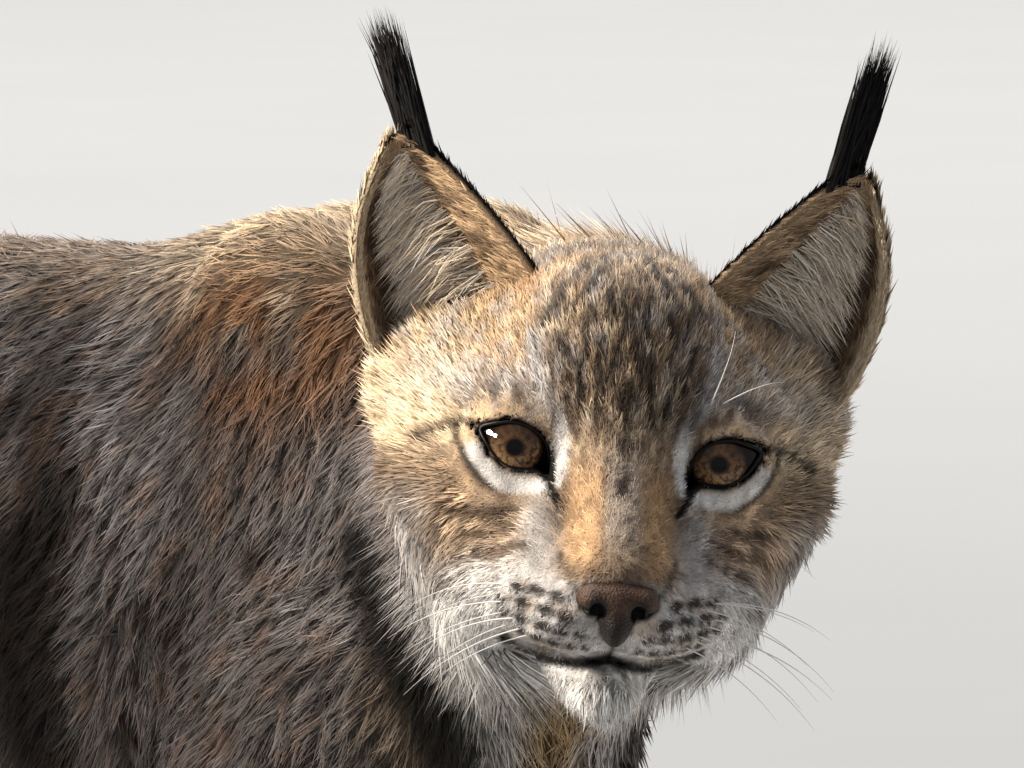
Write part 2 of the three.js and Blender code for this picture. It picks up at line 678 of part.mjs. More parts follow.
// Legs and paws
const floorSlab = solidFrom(block(point(-900, -300, -100), point(500, 300, 0)));
for (const leg of legs) {
  const { name, s, stepped } = leg;
  const reach = leg.front ? legCaps.front.reach : legCaps.hind.reach;
  const whole = blend(24, trunkFlesh, leg.shape);
  const footed = blend(16, leg.shape, leg.paw);
  const legGrid = surfaceOf(
    whole,
    gridLines([reach[0] - 20, reach[1] + 20, 27]),
    s > 0 ? gridLines([-24, 150, 23]) : gridLines([-150, 24, 23]),
    gridLines([20, 660, 44]),
  );
  const belowPawCut = solidFrom(block(point(-900, -300, -200), point(500, 300, pawTop)));
  let legSolid = solidFrom(legGrid).intersect(legCutter(leg, 0)).subtract(belowPawCut);
  const legRandom = scatter(100 + name.length + 7 * s);
  const thighLocks = [];
  for (let i = 0; !leg.front && i < thighLock.count; i++)
    thighLocks.push(
      lockOn(leg.shape, {
        from: point(
          -440 + 0.2 * stepped,
          s * (58 + 8 * (i % 2)),
          mix(535, 385, i / (thighLock.count - 1)),
        ),
        out: point(-1, s * 0.25, -0.05),
        lie: point(-0.45, s * 0.1, -1),
        proud: 0.25,
        size: thighLock,
        random: legRandom,
      }),
    );
  if (thighLocks.length) legSolid = legSolid.add(join(thighLocks.map(solidFrom))).subtract(trunkRoom);
  node('leg_' + name, geometryFrom(largest(legSolid)), materials.leg);
  const px = leg.footX;
  const py = leg.footY;
  const pawGrid = surfaceOf(
    footed,
    gridLines([px - 64, px + 64, 21.4]),
    gridLines([py - 57, py + 57, 23]),
    gridLines([-30, pawTop + 26, 23]),
  );
  const abovePawCut = solidFrom(block(point(-900, -300, pawTop - jointGap), point(500, 300, 300)));
  const toeBalls = toes.map((toe) => {
    const shape = ball([0, 0, 0], [toeHalf.long, toeHalf.wide, toeHalf.high], 0, 8, 5);
    shape.rotateZ(radians(toe.turn));
    shape.translate(px + toe.ahead, py + toe.aside, toeHalf.high - 5);
    return solidFrom(shape);
  });
  const pawSolid = solidFrom(pawGrid).add(join(toeBalls)).subtract(abovePawCut).subtract(floorSlab);
  node('paw_' + name, geometryFrom(largest(pawSolid)), materials.paw);
}

// Tail
const tailGrid = surfaceOf(
  bodyFlesh,
  gridLines([-660, -520, 20]),
  gridLines([-66, 66, 20]),
  gridLines([380, 670, 26]),
);
const tailRandom = scatter(5);
const tailLocks = [];
for (let i = 0; i < tailLock.count; i++) {
  const around = (2 * Math.PI * (i + 0.4)) / tailLock.count;
  tailLocks.push(
    lockOn(tailFlesh, {
      from: point(tailRoot.x - 0.46 * tailLength, 0, tailRoot.z - 0.76 * tailLength),
      out: point(Math.cos(around), Math.sin(around), -0.9 - 0.5 * (i % 2)),
      lie: point(0.2 * Math.cos(around), 0.2 * Math.sin(around), -1),
      proud: 0.1,
      size: tailLock,
      random: tailRandom,
    }),
  );
}
const tailSolid = largest(
  solidFrom(tailGrid).intersect(behindTailCut(jointGap)).add(join(tailLocks.map(solidFrom))),
);
node('tail', geometryFrom(tailSolid), materials.tail);

// Eyeballs, and the lids that close over them
const eyes = both((s) => ({ s, middle: [eyeDepth, s * eyeHalf, 0] }));
const eyeBall = (eye, more) => ball(eye.middle, [eyeRadius, eyeRadius, eyeRadius], more, 14, 9);

// The opening between the lids, from its inner corner over the upper lid and back along the lower one.
function lidOpening(s) {
  const shape = new THREE.Shape();
  shape.moveTo(s * 22, -8.8);
  shape.bezierCurveTo(s * 20.5, 3, s * 31, 11, s * 43, 4.8);
  shape.bezierCurveTo(s * 39, -7.5, s * 29, -9.5, s * 22, -8.8);
  const opening = new THREE.ExtrudeGeometry(shape, { depth: 40, bevelEnabled: false, curveSegments: 7 });
  // The shape is drawn in the face's plane, left and up, and stands out along the head's X.
  const facing = new THREE.Matrix4().makeBasis(point(0, 1, 0), point(0, 0, 1), point(1, 0, 0));
  return opening.applyMatrix4(facing);
}

// Nose leather with its nostrils
const noseFlesh = blend(
  5,
  egg([49, 0, -46.5], [9.5, 10.5, 7.5]),
  ...both((s) => egg([49.5, s * 7, -45.5], [7.5, 5.2, 5.6])),
  egg([48.5, 0, -52.5], [8, 4.6, 5.6]),
);
const noseGrid = surfaceOf(
  noseFlesh,
  gridLines([36, 64, 5]),
  gridLines([-17, 17, 4.8]),
  gridLines([-62, -34, 4.7]),
);

// A tube along a curve, for grooves and lips.
function tube(points, radius, sides = 6, steps = 14) {
  const around = new THREE.Shape();
  for (let i = 0; i < sides; i++) {
    const angle = (2 * Math.PI * i) / sides;
    if (i === 0) around.moveTo(radius, 0);
    else around.lineTo(radius * Math.cos(angle), radius * Math.sin(angle));
  }
  around.closePath();
  return new THREE.ExtrudeGeometry(around, {
    steps,
    bevelEnabled: false,
    extrudePath: new THREE.CatmullRomCurve3(points),
  });
}
const nostril = (s) =>
  tube([point(44, s * 4.8, -48.6), point(52, s * 5.6, -48.2), point(59, s * 6.2, -48)], 2.7, 7, 4);
const nostrilSlit = (s) =>
  tube([point(55, s * 6.2, -48.2), point(53.5, s * 9.4, -47.4), point(48, s * 12.6, -45.4)], 1.1, 5, 5);

// The first point of a shape's surface met from outside, going back along the head's X.
function faceAt(shape, left, up, from = 80) {
  let forward = from;
  while (forward > -120 && shape(forward, left, up) > 0.05)
    forward -= Math.max(0.1, 0.4 * shape(forward, left, up));
  return point(forward, left, up);
}
const lipLine = [[0, -61.5], [5, -63.5], [14, -65], [24, -63], [30, -59.5]]; // left and up, from the middle
const mouthLine = [...lipLine.slice(1).reverse().map(([left, up]) => [-left, up]), ...lipLine].map(
  ([left, up]) => faceAt(headFlesh, left, up),
);

// The head
const headGrid = surfaceOf(
  headWithNeck,
  gridLines([-110, -26, 18], [-26, 66, 9.4]),
  gridLines([-88, -46, 15], [-46, 46, 8.2], [46, 88, 15]),
  gridLines([-102, -70, 12], [-70, 16, 7.8], [16, 86, 15]),
);
const sockets = eyes.map((eye) => solidFrom(eyeBall(eye, jointGap)));
const openings = eyes.map((eye) => solidFrom(lidOpening(eye.s)));
const philtrum = [-55, -58, -62].map((up) => faceAt(headFlesh, 0, up));
let headSolid = solidFrom(headGrid)
  .intersect(solidFrom(block(point(headCut, -300, -300), point(300, 300, 300))))
  .subtract(join(openings))
  .subtract(join(sockets))
  .subtract(solidFrom(tube(mouthLine, 1.5, 5, 16)))
  .subtract(solidFrom(tube(philtrum, 1.2, 5, 3)))
  .subtract(solidFrom(grown(noseGrid, jointGap)));

// The ruff: three rows of long locks under each cheek, longer to the back, and short ones on the chin
const ruffRows = [
  { forward: -16, from: 26, to: 66, count: 3, long: 0.62, back: -0.25 },
  { forward: -37, from: 12, to: 76, count: 5, long: 0.85, back: -0.35 },
  { forward: -60, from: 4, to: 80, count: 6, long: 1, back: -0.4 },
];
const headRandom = scatter(3);
const headLocks = [];
for (const s of [-1, 1])
  for (const row of ruffRows)
    for (let i = 0; i < row.count; i++) {
      const angle = radians(mix(row.from, row.to, (i + 0.5 * headRandom()) / (row.count - 0.5)));
      headLocks.push(
        lockOn(headFlesh, {
          from: point(row.forward, s * 18, -22),
          out: point(0, s * Math.cos(angle), -Math.sin(angle)),
          lie: point(row.back, -s * 0.12 * Math.cos(angle) - 0.1, -1),
          proud: 0.3,
          size: { ...ruffLock, long: ruffLock.long * row.long },
          random: headRandom,
        }),
      );
    }
for (let i = 0; i < chinLock.count; i++) {
  const aside = mix(-1, 1, i / (chinLock.count - 1));
  headLocks.push(
    lockOn(headFlesh, {
      from: point(6 + 6 * (i % 2), 13 * aside, -68),
      out: point(0.1, 0, -1),
      lie: point(-0.25, 0.15 * aside, -1),
      proud: 0.5,
      size: chinLock,
      random: headRandom,
    }),
  );
}
const neckRoom = solidFrom(grown(geometryFrom(neckSolid), 0.3).applyMatrix4(worldToHead));
headSolid = largest(headSolid.add(join(headLocks.map(solidFrom))).subtract(neckRoom));

const noseSolid = solidFrom(noseGrid)
  .subtract(join(both((s) => solidFrom(nostril(s)))))
  .subtract(join(both((s) => solidFrom(nostrilSlit(s)))));
node('nose', geometryFrom(largest(noseSolid)), materials.nose, headGroup);
for (const eye of eyes)
  node(eye.s > 0 ? 'eye_left' : 'eye_right', eyeBall(eye, 0), materials.eye, headGroup);

// An ear: a cupped leaf between its inner and its outer edge, thin at the rim.
const earInner = [[-46, 16, 34], [-40, 28, 56], [-42, 45, 76], [-46, 62, 92], [-48, 71, 98]];
const earOuter = [[-66, 50, -4], [-55, 73, 24], [-53, 82, 48], [-53, 83, 72], [-50, 77, 95]];
const earEdge = (stops, s) =>
  new THREE.CatmullRomCurve3(stops.map(([forward, left, up]) => point(forward, s * left, up)));
const earEdges = (s) => ({ inner: earEdge(earInner, s), outer: earEdge(earOuter, s) });
const earCup = { depth: 27, thickness: 3.2, rows: 6, columns: 6 };
const earBack = (s) => point(-0.94, s * 0.16, -0.1).normalize();

// A point of the ear's front face, from its height and its place between the two edges, both 0 to 1.
function earPoint(s, height, place) {
  const { inner, outer } = earEdges(s);
  const bow = 4 * place * (1 - place);
  const deep = earCup.depth * Math.pow(1 - height, 0.75) * Math.pow(bow, 0.7) + 1.5 * bow;
  return inner.getPoint(height).lerp(outer.getPoint(height), place).addScaledVector(earBack(s), deep);
}
function earLeaf(s) {
  const { rows, columns } = earCup;
  const front = [];
  const back = [];
  for (let i = 0; i <= rows; i++)
    for (let j = 0; j <= columns; j++) {
      const [height, place] = [i / rows, j / columns];
      const bow = 4 * place * (1 - place);
      const thick = earCup.thickness * mix(0.55, 1, bow) * mix(1.25, 0.8, height);
      const on = earPoint(s, height, place);
      front.push(on);
      back.push(on.clone().addScaledVector(earBack(s), thick));
    }
  const at = (i, j) => i * (columns + 1) + j;
  const count = front.length;
  const index = [];
  const face = (a, b, c, d) => index.push(a, b, c, a, c, d);
  for (let i = 0; i < rows; i++)
    for (let j = 0; j < columns; j++) {
      face(at(i, j), at(i, j + 1), at(i + 1, j + 1), at(i + 1, j));
      // the back face is split along the same diagonal as the front one
      const corners = [at(i, j), at(i, j + 1), at(i + 1, j + 1), at(i + 1, j)];
      const [p, q, r, t] = corners.map((n) => n + count);
      index.push(p, r, q, p, t, r);
    }
  for (let j = 0; j < columns; j++) {
    face(at(0, j + 1), at(0, j), at(0, j) + count, at(0, j + 1) + count);
    face(at(rows, j), at(rows, j + 1), at(rows, j + 1) + count, at(rows, j) + count);
  }
  for (let i = 0; i < rows; i++) {
    face(at(i, 0), at(i + 1, 0), at(i + 1, 0) + count, at(i, 0) + count);
    face(at(i + 1, columns), at(i, columns), at(i, columns) + count, at(i + 1, columns) + count);
  }
  const positions = [...front, ...back].flatMap((p) => p.toArray());
  const geometry = new THREE.BufferGeometry();
  geometry.setAttribute('position', new THREE.Float32BufferAttribute(positions, 3));
  for (let i = 0; s < 0 && i < index.length; i += 3)
    [index[i + 1], index[i + 2]] = [index[i + 2], index[i + 1]];
  geometry.setIndex(index);
  return geometry;
}

// The dense middle of an ear tuft, half as high as its hair.
function tuftCore(foot, up) {
  const core = new THREE.ConeGeometry(5.4, 0.5 * tuftLength, 7);
  core.translate(0, 0.25 * tuftLength - 4, 0);
  core.applyQuaternion(new THREE.Quaternion().setFromUnitVectors(point(0, 1, 0), up));
  return core.translate(foot.x - 1, foot.y, foot.z);
}

node('head', geometryFrom(headSolid), materials.head, headGroup);
const headRoom = solidFrom(grown(geometryFrom(headSolid), jointGap));
for (const s of [1, -1]) {
  const { inner, outer } = earEdges(s);
  const earRandom = scatter(20 + s);
  const earTip = inner.getPoint(1).lerp(outer.getPoint(1), 0.5);
  const up = point(-0.12, s > 0 ? 0.12 : -0.22, 1).normalize();
  const pieces = [earLeaf(s), tuftCore(earTip, up)];
  for (let i = 0; i < earTuftLock.count; i++) {
    const around = goldenAngle * i;
    const aside = point(Math.cos(around), Math.sin(around), 0);
    const sway = point(-0.04, 0.1 * s * earRandom(), 0);
    const height = mix(0, 0.42 * tuftLength, i / earTuftLock.count);
    pieces.push(
      lock({
        root: earTip.clone().addScaledVector(up, height).addScaledVector(aside, 2.2),
        rise: up.clone().addScaledVector(aside, 0.12).normalize(),
        lie: up.clone().addScaledVector(aside, -0.02).add(sway).normalize(),
        flat: point(-Math.sin(around), Math.cos(around), 0),
        length: (tuftLength - height) * mix(0.8, 1.06, earRandom()),
        wide: earTuftLock.wide,
        thick: earTuftLock.thick,
        sink: 3,
      }),
    );
  }
  for (let i = 0; i < earHairLock.count; i++) {
    const h = mix(0.16, 0.78, i / (earHairLock.count - 1));
    const across = outer.getPoint(h).sub(inner.getPoint(h));
    const width = across.length();
    across.normalize();
    pieces.push(
      lock({
        root: earPoint(s, h, 0.14),
        rise: across.clone().add(point(0.34, 0, 0.75)).normalize(),
        lie: across.clone().add(point(-0.12, 0, mix(-0.75, 0.1, h))).normalize(),
        flat: point(-0.2, 0, 1),
        length: earHairLock.reach * width * mix(0.9, 1.1, earRandom()),
        wide: earHairLock.wide,
        thick: earHairLock.thick,
        sink: 1.2,
      }),
    );
  }
  const ear = largest(join(pieces.map(solidFrom)).subtract(headRoom));
  node(s > 0 ? 'ear_left' : 'ear_right', geometryFrom(ear), materials.ear, headGroup);
}

// The part's origin: under the middle of its bounding box, on the floor
lynx.updateMatrixWorld(true);
const box = new THREE.Box3().setFromObject(lynx, true);
lynx.position.set(-(box.min.x + box.max.x) / 2, -(box.min.y + box.max.y) / 2, 0);

export default lynx;
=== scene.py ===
# %% [markdown]
# # A Eurasian lynx, life size
# A lynx is read by three things: the pale, black-rimmed eyes, the tufted ears with the ruff under
# them, and a coat in which every hair lies back from the nose to the tail. This lesson dresses a
# packed set of plain solids in that order of depth: skin first, then eyes and nose, then the coat.
# The solids are loaded as a fixed frame, and the boxes of the two eyes give everything its place.

# %% The frame
import math
import bpy
import numpy as np
import openvdb
from mathutils import Matrix, Vector


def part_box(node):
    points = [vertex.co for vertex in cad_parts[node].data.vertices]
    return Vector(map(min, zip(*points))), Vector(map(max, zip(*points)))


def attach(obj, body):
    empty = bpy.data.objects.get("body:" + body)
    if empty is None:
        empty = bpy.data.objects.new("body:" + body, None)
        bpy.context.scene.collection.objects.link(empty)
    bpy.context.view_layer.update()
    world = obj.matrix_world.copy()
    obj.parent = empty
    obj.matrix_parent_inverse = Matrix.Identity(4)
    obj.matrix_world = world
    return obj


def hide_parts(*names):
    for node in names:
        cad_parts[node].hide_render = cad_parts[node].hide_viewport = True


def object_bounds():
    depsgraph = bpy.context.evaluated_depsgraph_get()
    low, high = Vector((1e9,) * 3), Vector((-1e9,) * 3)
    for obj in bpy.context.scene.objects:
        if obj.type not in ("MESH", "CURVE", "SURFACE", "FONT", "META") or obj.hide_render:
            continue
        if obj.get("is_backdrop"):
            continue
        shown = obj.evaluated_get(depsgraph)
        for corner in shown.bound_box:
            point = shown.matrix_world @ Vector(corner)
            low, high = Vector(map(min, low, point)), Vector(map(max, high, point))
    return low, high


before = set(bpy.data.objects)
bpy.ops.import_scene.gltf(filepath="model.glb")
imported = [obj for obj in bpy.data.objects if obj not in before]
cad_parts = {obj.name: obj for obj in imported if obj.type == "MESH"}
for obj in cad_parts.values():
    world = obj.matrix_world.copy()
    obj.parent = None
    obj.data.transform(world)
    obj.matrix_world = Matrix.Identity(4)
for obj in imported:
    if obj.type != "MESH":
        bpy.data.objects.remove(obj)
solid_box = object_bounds()
print("solids reach from", [round(v, 3) for v in solid_box[0]], "to", [round(v, 3) for v in solid_box[1]])

# %% [markdown]
# The head has its own axes: forward, left and up, with the origin between the eyes. The eyeballs'
# boxes give that origin. All measures below are millimetres in the animal's own frame, where the
# withers stand over X = 0, so they read like notes taken on a real animal.

# %% Places
MM = 0.001
HEAD_TURN, HEAD_LIFT, HEAD_LEAN = -35.5, 5.0, -5.3
EYES_AT = np.array([253.0, -110.0, 579.0])
EYE_DEPTH, EYE_RADIUS, EYE_ASIDE = -3.5, 15.5, 32.0


def turned(degrees, axis):
    return Matrix.Rotation(math.radians(degrees), 3, axis)


def middle_of(node):
    low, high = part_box(node)
    return (low + high) / 2


head_axes = turned(HEAD_TURN, "Z") @ turned(-HEAD_LIFT, "Y") @ turned(HEAD_LEAN, "X")
AXES = np.array(head_axes)
eyes_middle = (middle_of("eye_left") + middle_of("eye_right")) / 2
head_origin = eyes_middle - head_axes @ Vector((EYE_DEPTH * MM, 0, 0))
ORIGIN = np.array(head_origin) / MM - EYES_AT
ORIGIN[2] = 0.0
print("the animal's own origin lies at", ORIGIN.round(2), "mm")


def to_head(P):
    return (P - EYES_AT) @ AXES


def from_head(H):
    return np.asarray(H) @ AXES.T + EYES_AT


def to_world(P):
    return (np.asarray(P) + ORIGIN) * MM


# %% [markdown]
# Flesh is soft: a thigh runs into a flank with no edge. Primitives joined by a remesh keep a crease
# at every crossing, so the body is written as distances instead. An egg is a muscle, a limb is a
# run of ovals along a curve, and `blend` joins them with a fillet of a chosen width.

# %% Distances to soft forms
FAR = 300.0


def mix(a, b, t):
    return a + (b - a) * t


def smooth(a, b, x):
    t = np.clip((x - a) / (b - a), 0, 1)
    return t * t * (3 - 2 * t)


def oval(u, v, w, ru, rv, rw):
    near = np.sqrt((u / ru) ** 2 + (v / rv) ** 2 + (w / rw) ** 2)
    slope = np.sqrt((u / ru**2) ** 2 + (v / rv**2) ** 2 + (w / rw**2) ** 2)
    return near * (near - 1) / np.maximum(slope, 1e-6)


def egg(middle, half):
    return lambda P: oval(*(P - np.array(middle, "f")).T, *half)


def stretch(a, b, side=(0, 1, 0)):
    """The form between two sections, each (x, y, z, half width along side, half depth)."""
    a, b, side = np.array(a, "f"), np.array(b, "f"), np.array(side, "f")
    axis = b[:3] - a[:3]
    length = np.linalg.norm(axis)
    axis = axis / length
    across = side - axis * side.dot(axis)
    across /= np.linalg.norm(across)
    third = np.cross(axis, across)

    def distance(P):
        offset = P - a[:3]
        along = offset @ axis
        t = np.clip(along / length, 0, 1)
        wide, deep = mix(a[3], b[3], t), mix(a[4], b[4], t)
        return oval(offset @ across, offset @ third, along - t * length, wide, deep, np.minimum(wide, deep))

    return distance


def blend(soft, *shapes):
    def distance(P):
        d = shapes[0](P)
        for shape in shapes[1:]:
            e = shape(P)
            h = np.maximum(soft - np.abs(d - e), 0) / soft
            d = np.minimum(d, e) - h * h * soft / 4
        return d

    return distance


# %% [markdown]
# A leg bends, so one straight stretch can't follow it. Its sections are listed, a smooth curve
# runs through them, and short stretches follow the curve. Most muscles and bones come in pairs.

# %% Limbs and pairs
def curve(stops, count):
    """Points along a smooth curve through the stops, `count` of them between each two."""
    stops = np.array(stops, float)
    ends = np.vstack([2 * stops[0] - stops[1], stops, 2 * stops[-1] - stops[-2]])
    out = []
    for i in range(len(stops) - 1):
        p0, p1, p2, p3 = ends[i : i + 4]
        for t in np.arange(count) / count:
            m1, m2 = (p2 - p0) / 2, (p3 - p1) / 2
            out.append(
                (2 * t**3 - 3 * t**2 + 1) * p1
                + (t**3 - 2 * t**2 + t) * m1
                + (3 * t**2 - 2 * t**3) * p2
                + (t**3 - t**2) * m2
            )
    return np.array(out + [stops[-1]])


def limb(sections, pieces=3):
    stops = curve(sections, pieces)
    parts = [stretch(a, b) for a, b in zip(stops, stops[1:])]
    room = stops[:, 3:].max() + 60
    low, high = stops[:, :3].min(0) - room, stops[:, :3].max(0) + room

    def distance(P):
        out = np.full(len(P), FAR, "f")
        near = np.all((P > low) & (P < high), axis=1)
        Q = P[near]
        if len(Q):
            out[near] = np.minimum.reduce([part(Q) for part in parts])
        return out

    return distance


def both(make):
    return [make(1), make(-1)]


def egg_pair(middle, half):
    """The left egg and the right one, from the middle of the left one."""
    return both(lambda s: egg(np.array(middle) * [1, s, 1], half))


# %% [markdown]
# These are the animal's measures. They are the outer form, out to the tips of the coat, and they
# agree with the solids; the skin is drawn from them, deeper by the length of the coat.

# %% The body's forms
WITHERS, RUMP, RIBS = 643, 634, 98
STEPS = {"front_right": 42, "front_left": -34, "hind_right": -40, "hind_left": 46}
FRONT_STANCE, HIND_STANCE = 64, 70


def back_section(x, top, bottom, wide):
    return (x, 0, (top + bottom) / 2, wide, (top - bottom) / 2)


trunk = limb(
    [
        back_section(66, WITHERS - 66, 408, RIBS - 50),
        back_section(28, WITHERS - 22, 386, RIBS - 34),
        back_section(-20, WITHERS - 2, 374, RIBS - 22),
        back_section(-100, WITHERS - 17, 368, RIBS - 4),
        back_section(-190, WITHERS - 21, 374, RIBS),
        back_section(-290, RUMP - 11, 396, RIBS - 6),
        back_section(-380, RUMP + 2, 424, RIBS - 12),
        back_section(-450, RUMP - 6, 462, RIBS - 22),
        back_section(-500, RUMP - 32, 496, RIBS - 44),
    ]
)
neck = limb([(10, 0, 534, 66, 100), (84, -10, 546, 62, 88), (140, -32, 562, 61, 76), (180, -58, 568, 60, 70)])
blade_tops = egg_pair([4, 42, WITHERS - 70], [58, 31, 70])
trunk_flesh = blend(24, trunk, *blade_tops, egg([72, 0, 452], [46, 34, 58]), neck)


def front_leg(s, step):
    y = s * FRONT_STANCE
    return limb(
        [
            (34 + 0.3 * step, s * 46, 500, 34, 58),
            (8 + 0.15 * step, s * 58, 420, 36, 54),
            (-6 + 0.3 * step, y, 362, 34, 44),
            (8 + 0.6 * step, y, 250, 31, 35),
            (18 + 0.9 * step, y, 138, 29, 32),
            (24 + step, y, 90, 31, 33),
            (40 + step, y, 42, 36, 32),
        ]
    )


def hind_leg(s, step):
    y = s * HIND_STANCE
    return blend(
        30,
        egg([-432 + 0.1 * step, s * 52, 512], [88, 44, 106]),
        limb(
            [
                (-412 + 0.15 * step, s * 56, 480, 42, 84),
                (-388 + 0.3 * step, s * 66, 392, 40, 66),
                (-414 + 0.45 * step, y, 322, 35, 52),
                (-486 + 0.75 * step, y, 240, 28, 35),
                (-520 + 0.9 * step, y, 198, 27, 33),
                (-514 + 0.95 * step, y, 140, 27, 28),
                (-504 + step, y, 84, 30, 30),
                (-488 + step, y, 42, 35, 31),
            ]
        ),
    )


TOES = [(-31, 22), (-11, 37), (11, 37), (31, 22)]
feet = []
leg_flesh = []
for name, step in STEPS.items():
    s = -1 if name.endswith("right") else 1
    front = name.startswith("front")
    leg_flesh.append((front_leg if front else hind_leg)(s, step))
    feet.append((46 + step, s * FRONT_STANCE) if front else (-482 + step, s * HIND_STANCE))
toe_forms = [egg([x + ahead, y + aside, 15], [26, 12.5, 18]) for x, y in feet for aside, ahead in TOES]
paws = [egg([x, y, 24], [44, 38, 33]) for x, y in feet]
TAIL = [(-520, 584, 34), (-565.5, 559.5, 33), (-593.5, 507, 33), (-602, 444, 30)]
tail = limb([(x, 0, z, r, r) for x, z, r in TAIL])
body_flesh = blend(16, blend(24, trunk_flesh, tail, *leg_flesh), *paws)
body_with_toes = blend(5, body_flesh, *toe_forms)

# %% [markdown]
# The face is built the way an anatomist would list it: brain case, cheeks, brow ridges, cheek bones,
# jowls, the bridge of the nose, the two whisker pads and the chin. The nose leather is a cushion of
# its own, which is meshed later; the hair has to know where it lies.

# %% The head's forms
UPWARD = (0, 0, 1)
LID_RADIUS = 18.2
skull = blend(
    20,
    egg([-52, 0, 14], [58, 55, 50]),
    egg([-30, 0, 14], [42, 42, 40]),
    egg([-84, 0, 0], [38, 54, 50]),
    *egg_pair([-60, 50, 16], [26, 28, 28]),
)
cheeks = egg_pair([-42, 39, -12], [42, 30, 38])
brow_ridges = both(lambda s: stretch((3, s * 19, 14, 9, 9), (-14, s * 44, 15, 9, 9), UPWARD))
cheek_bones = both(lambda s: stretch((2, s * 34, -20, 12, 11), (-38, s * 55, -8, 18, 19), UPWARD))
face = blend(
    11,
    blend(20, skull, *cheeks),
    *brow_ridges,
    *cheek_bones,
    *egg_pair([-20, 30, -43], [36, 23, 23]),
    stretch((4, 0, 11, 17, 12), (43, 0, -36, 14, 11)),
    egg([14, 0, -42], [36, 27, 22]),
    *egg_pair([32, 13.5, -51], [18, 16, 12]),
    *egg_pair([6, 19, -21], [19, 13, 17]),
    *egg_pair([15, 25, -43], [21, 15, 18]),
)
chin = stretch((-12, 0, -62, 24, 15), (29, 0, -72, 10.5, 10.5))
lids = egg_pair([EYE_DEPTH, EYE_ASIDE, 0], [LID_RADIUS] * 3)
head_flesh = blend(6, face, chin, *lids)
throat_and_head = blend(20, lambda H: trunk_flesh(from_head(H).astype("f")), head_flesh)
leather_cushion = blend(
    3.5,
    egg([49, 0, -44.4], [9.5, 10.8, 5.6]),
    *egg_pair([49.5, 8, -45.0], [7.5, 4.8, 4.6]),
    egg([48.5, 0, -50.0], [8.6, 5.2, 7.6]),
    egg([47.5, 0, -54.5], [7.6, 2.6, 4.2]),
)


# %% [markdown]
# How deep the skin lies under the tips of the coat: nine millimetres on the flank, one or two on the
# nose, the lids and the crown.

# %% Depth of the coat
def folded(H):
    """How far forward, aside and up: the two sides of the head fall on each other."""
    return H[:, 0], np.abs(H[:, 1]), H[:, 2]


def body_depth(P):
    z = P[:, 2]
    depth = mix(9.0, 7.0, smooth(430, 300, z))
    depth = mix(depth, 3.0, smooth(590, 625, z))
    depth = mix(depth, 2.6, smooth(130, 50, z))
    return mix(depth, 12.0, smooth(-545, -565, P[:, 0]) * (z > 380))


def head_depth(H):
    f, a, u = folded(H)
    depth = 3.2 + 2.3 * smooth(30, 62, a) * smooth(20, -20, u) + 2.5 * smooth(-50, -95, f)
    depth = mix(1.9, depth, smooth(14, 52, np.sqrt((f - 44) ** 2 + a**2 + (u + 46) ** 2)))
    depth = mix(1.3, depth, smooth(13, 27, np.hypot(a - EYE_ASIDE, 1.3 * u)))
    bridge = smooth(18, 8, a) * smooth(-20, 0, f) * smooth(20, 4, u)
    depth = mix(depth, 2.0, bridge)
    depth = mix(depth, 0.6, smooth(36, 56, u) * smooth(34, 20, a))
    return mix(depth, 9.0, smooth(-84, -120, f))


# %% [markdown]
# Two cuts make the face live: the opening of the lids over the eyeball, and the line of the mouth.
# Both are drawn flat, as seen from the front, and taken out of the head with a soft edge.

# %% Lids and mouth
LID_LINE = [
    (21.6, -9.6), (22.0, -3.0), (23.6, 2.2), (27.2, 5.6), (33.0, 7.5), (38.6, 7.0), (43.8, 5.0),
    (42.0, 0.6), (39.2, -3.0), (35.0, -5.9), (29.6, -6.6), (25.2, -6.6),
]
LIP_LINE = [(0, -63.0), (5, -64.3), (14, -65.2), (24, -63.2), (31, -59.2)]
lid_curve = curve(LID_LINE + LID_LINE[:1], 4)[:-1]
lip_curve = curve(LIP_LINE, 4)


def distance_to_line(a, u, line):
    """Distance in the plane of the face to a run of points."""
    best = np.full(len(a), FAR)
    for (x0, y0), (x1, y1) in zip(line, line[1:]):
        dx, dy = x1 - x0, y1 - y0
        t = np.clip(((a - x0) * dx + (u - y0) * dy) / (dx * dx + dy * dy), 0, 1)
        best = np.minimum(best, np.hypot(a - x0 - t * dx, u - y0 - t * dy))
    return best


def inside_line(a, u, line):
    inside = np.zeros(len(a), bool)
    for (x0, y0), (x1, y1) in zip(line, np.roll(line, -1, axis=0)):
        crosses = (y0 > u) != (y1 > u)
        inside ^= crosses & (a < x0 + (u - y0) * (x1 - x0) / (y1 - y0 + 1e-9))
    return inside


def lid_distance(a, u):
    """Distance to the edge of the lid opening, negative in the opening."""
    closed = np.vstack([lid_curve, lid_curve[:1]])
    d = distance_to_line(a, u, closed)
    return np.where(inside_line(a, u, lid_curve), -d, d)


def cut(soft, d, e):
    h = np.maximum(soft - np.abs(d + e), 0) / soft
    return np.maximum(d, -e) + h * h * soft / 4


def near_eye(f, a, u, back):
    """True in a box around each eye, outside which its opening plays no part."""
    return (a > 14) & (a < 52) & (np.abs(u) < 20) & (f > back)


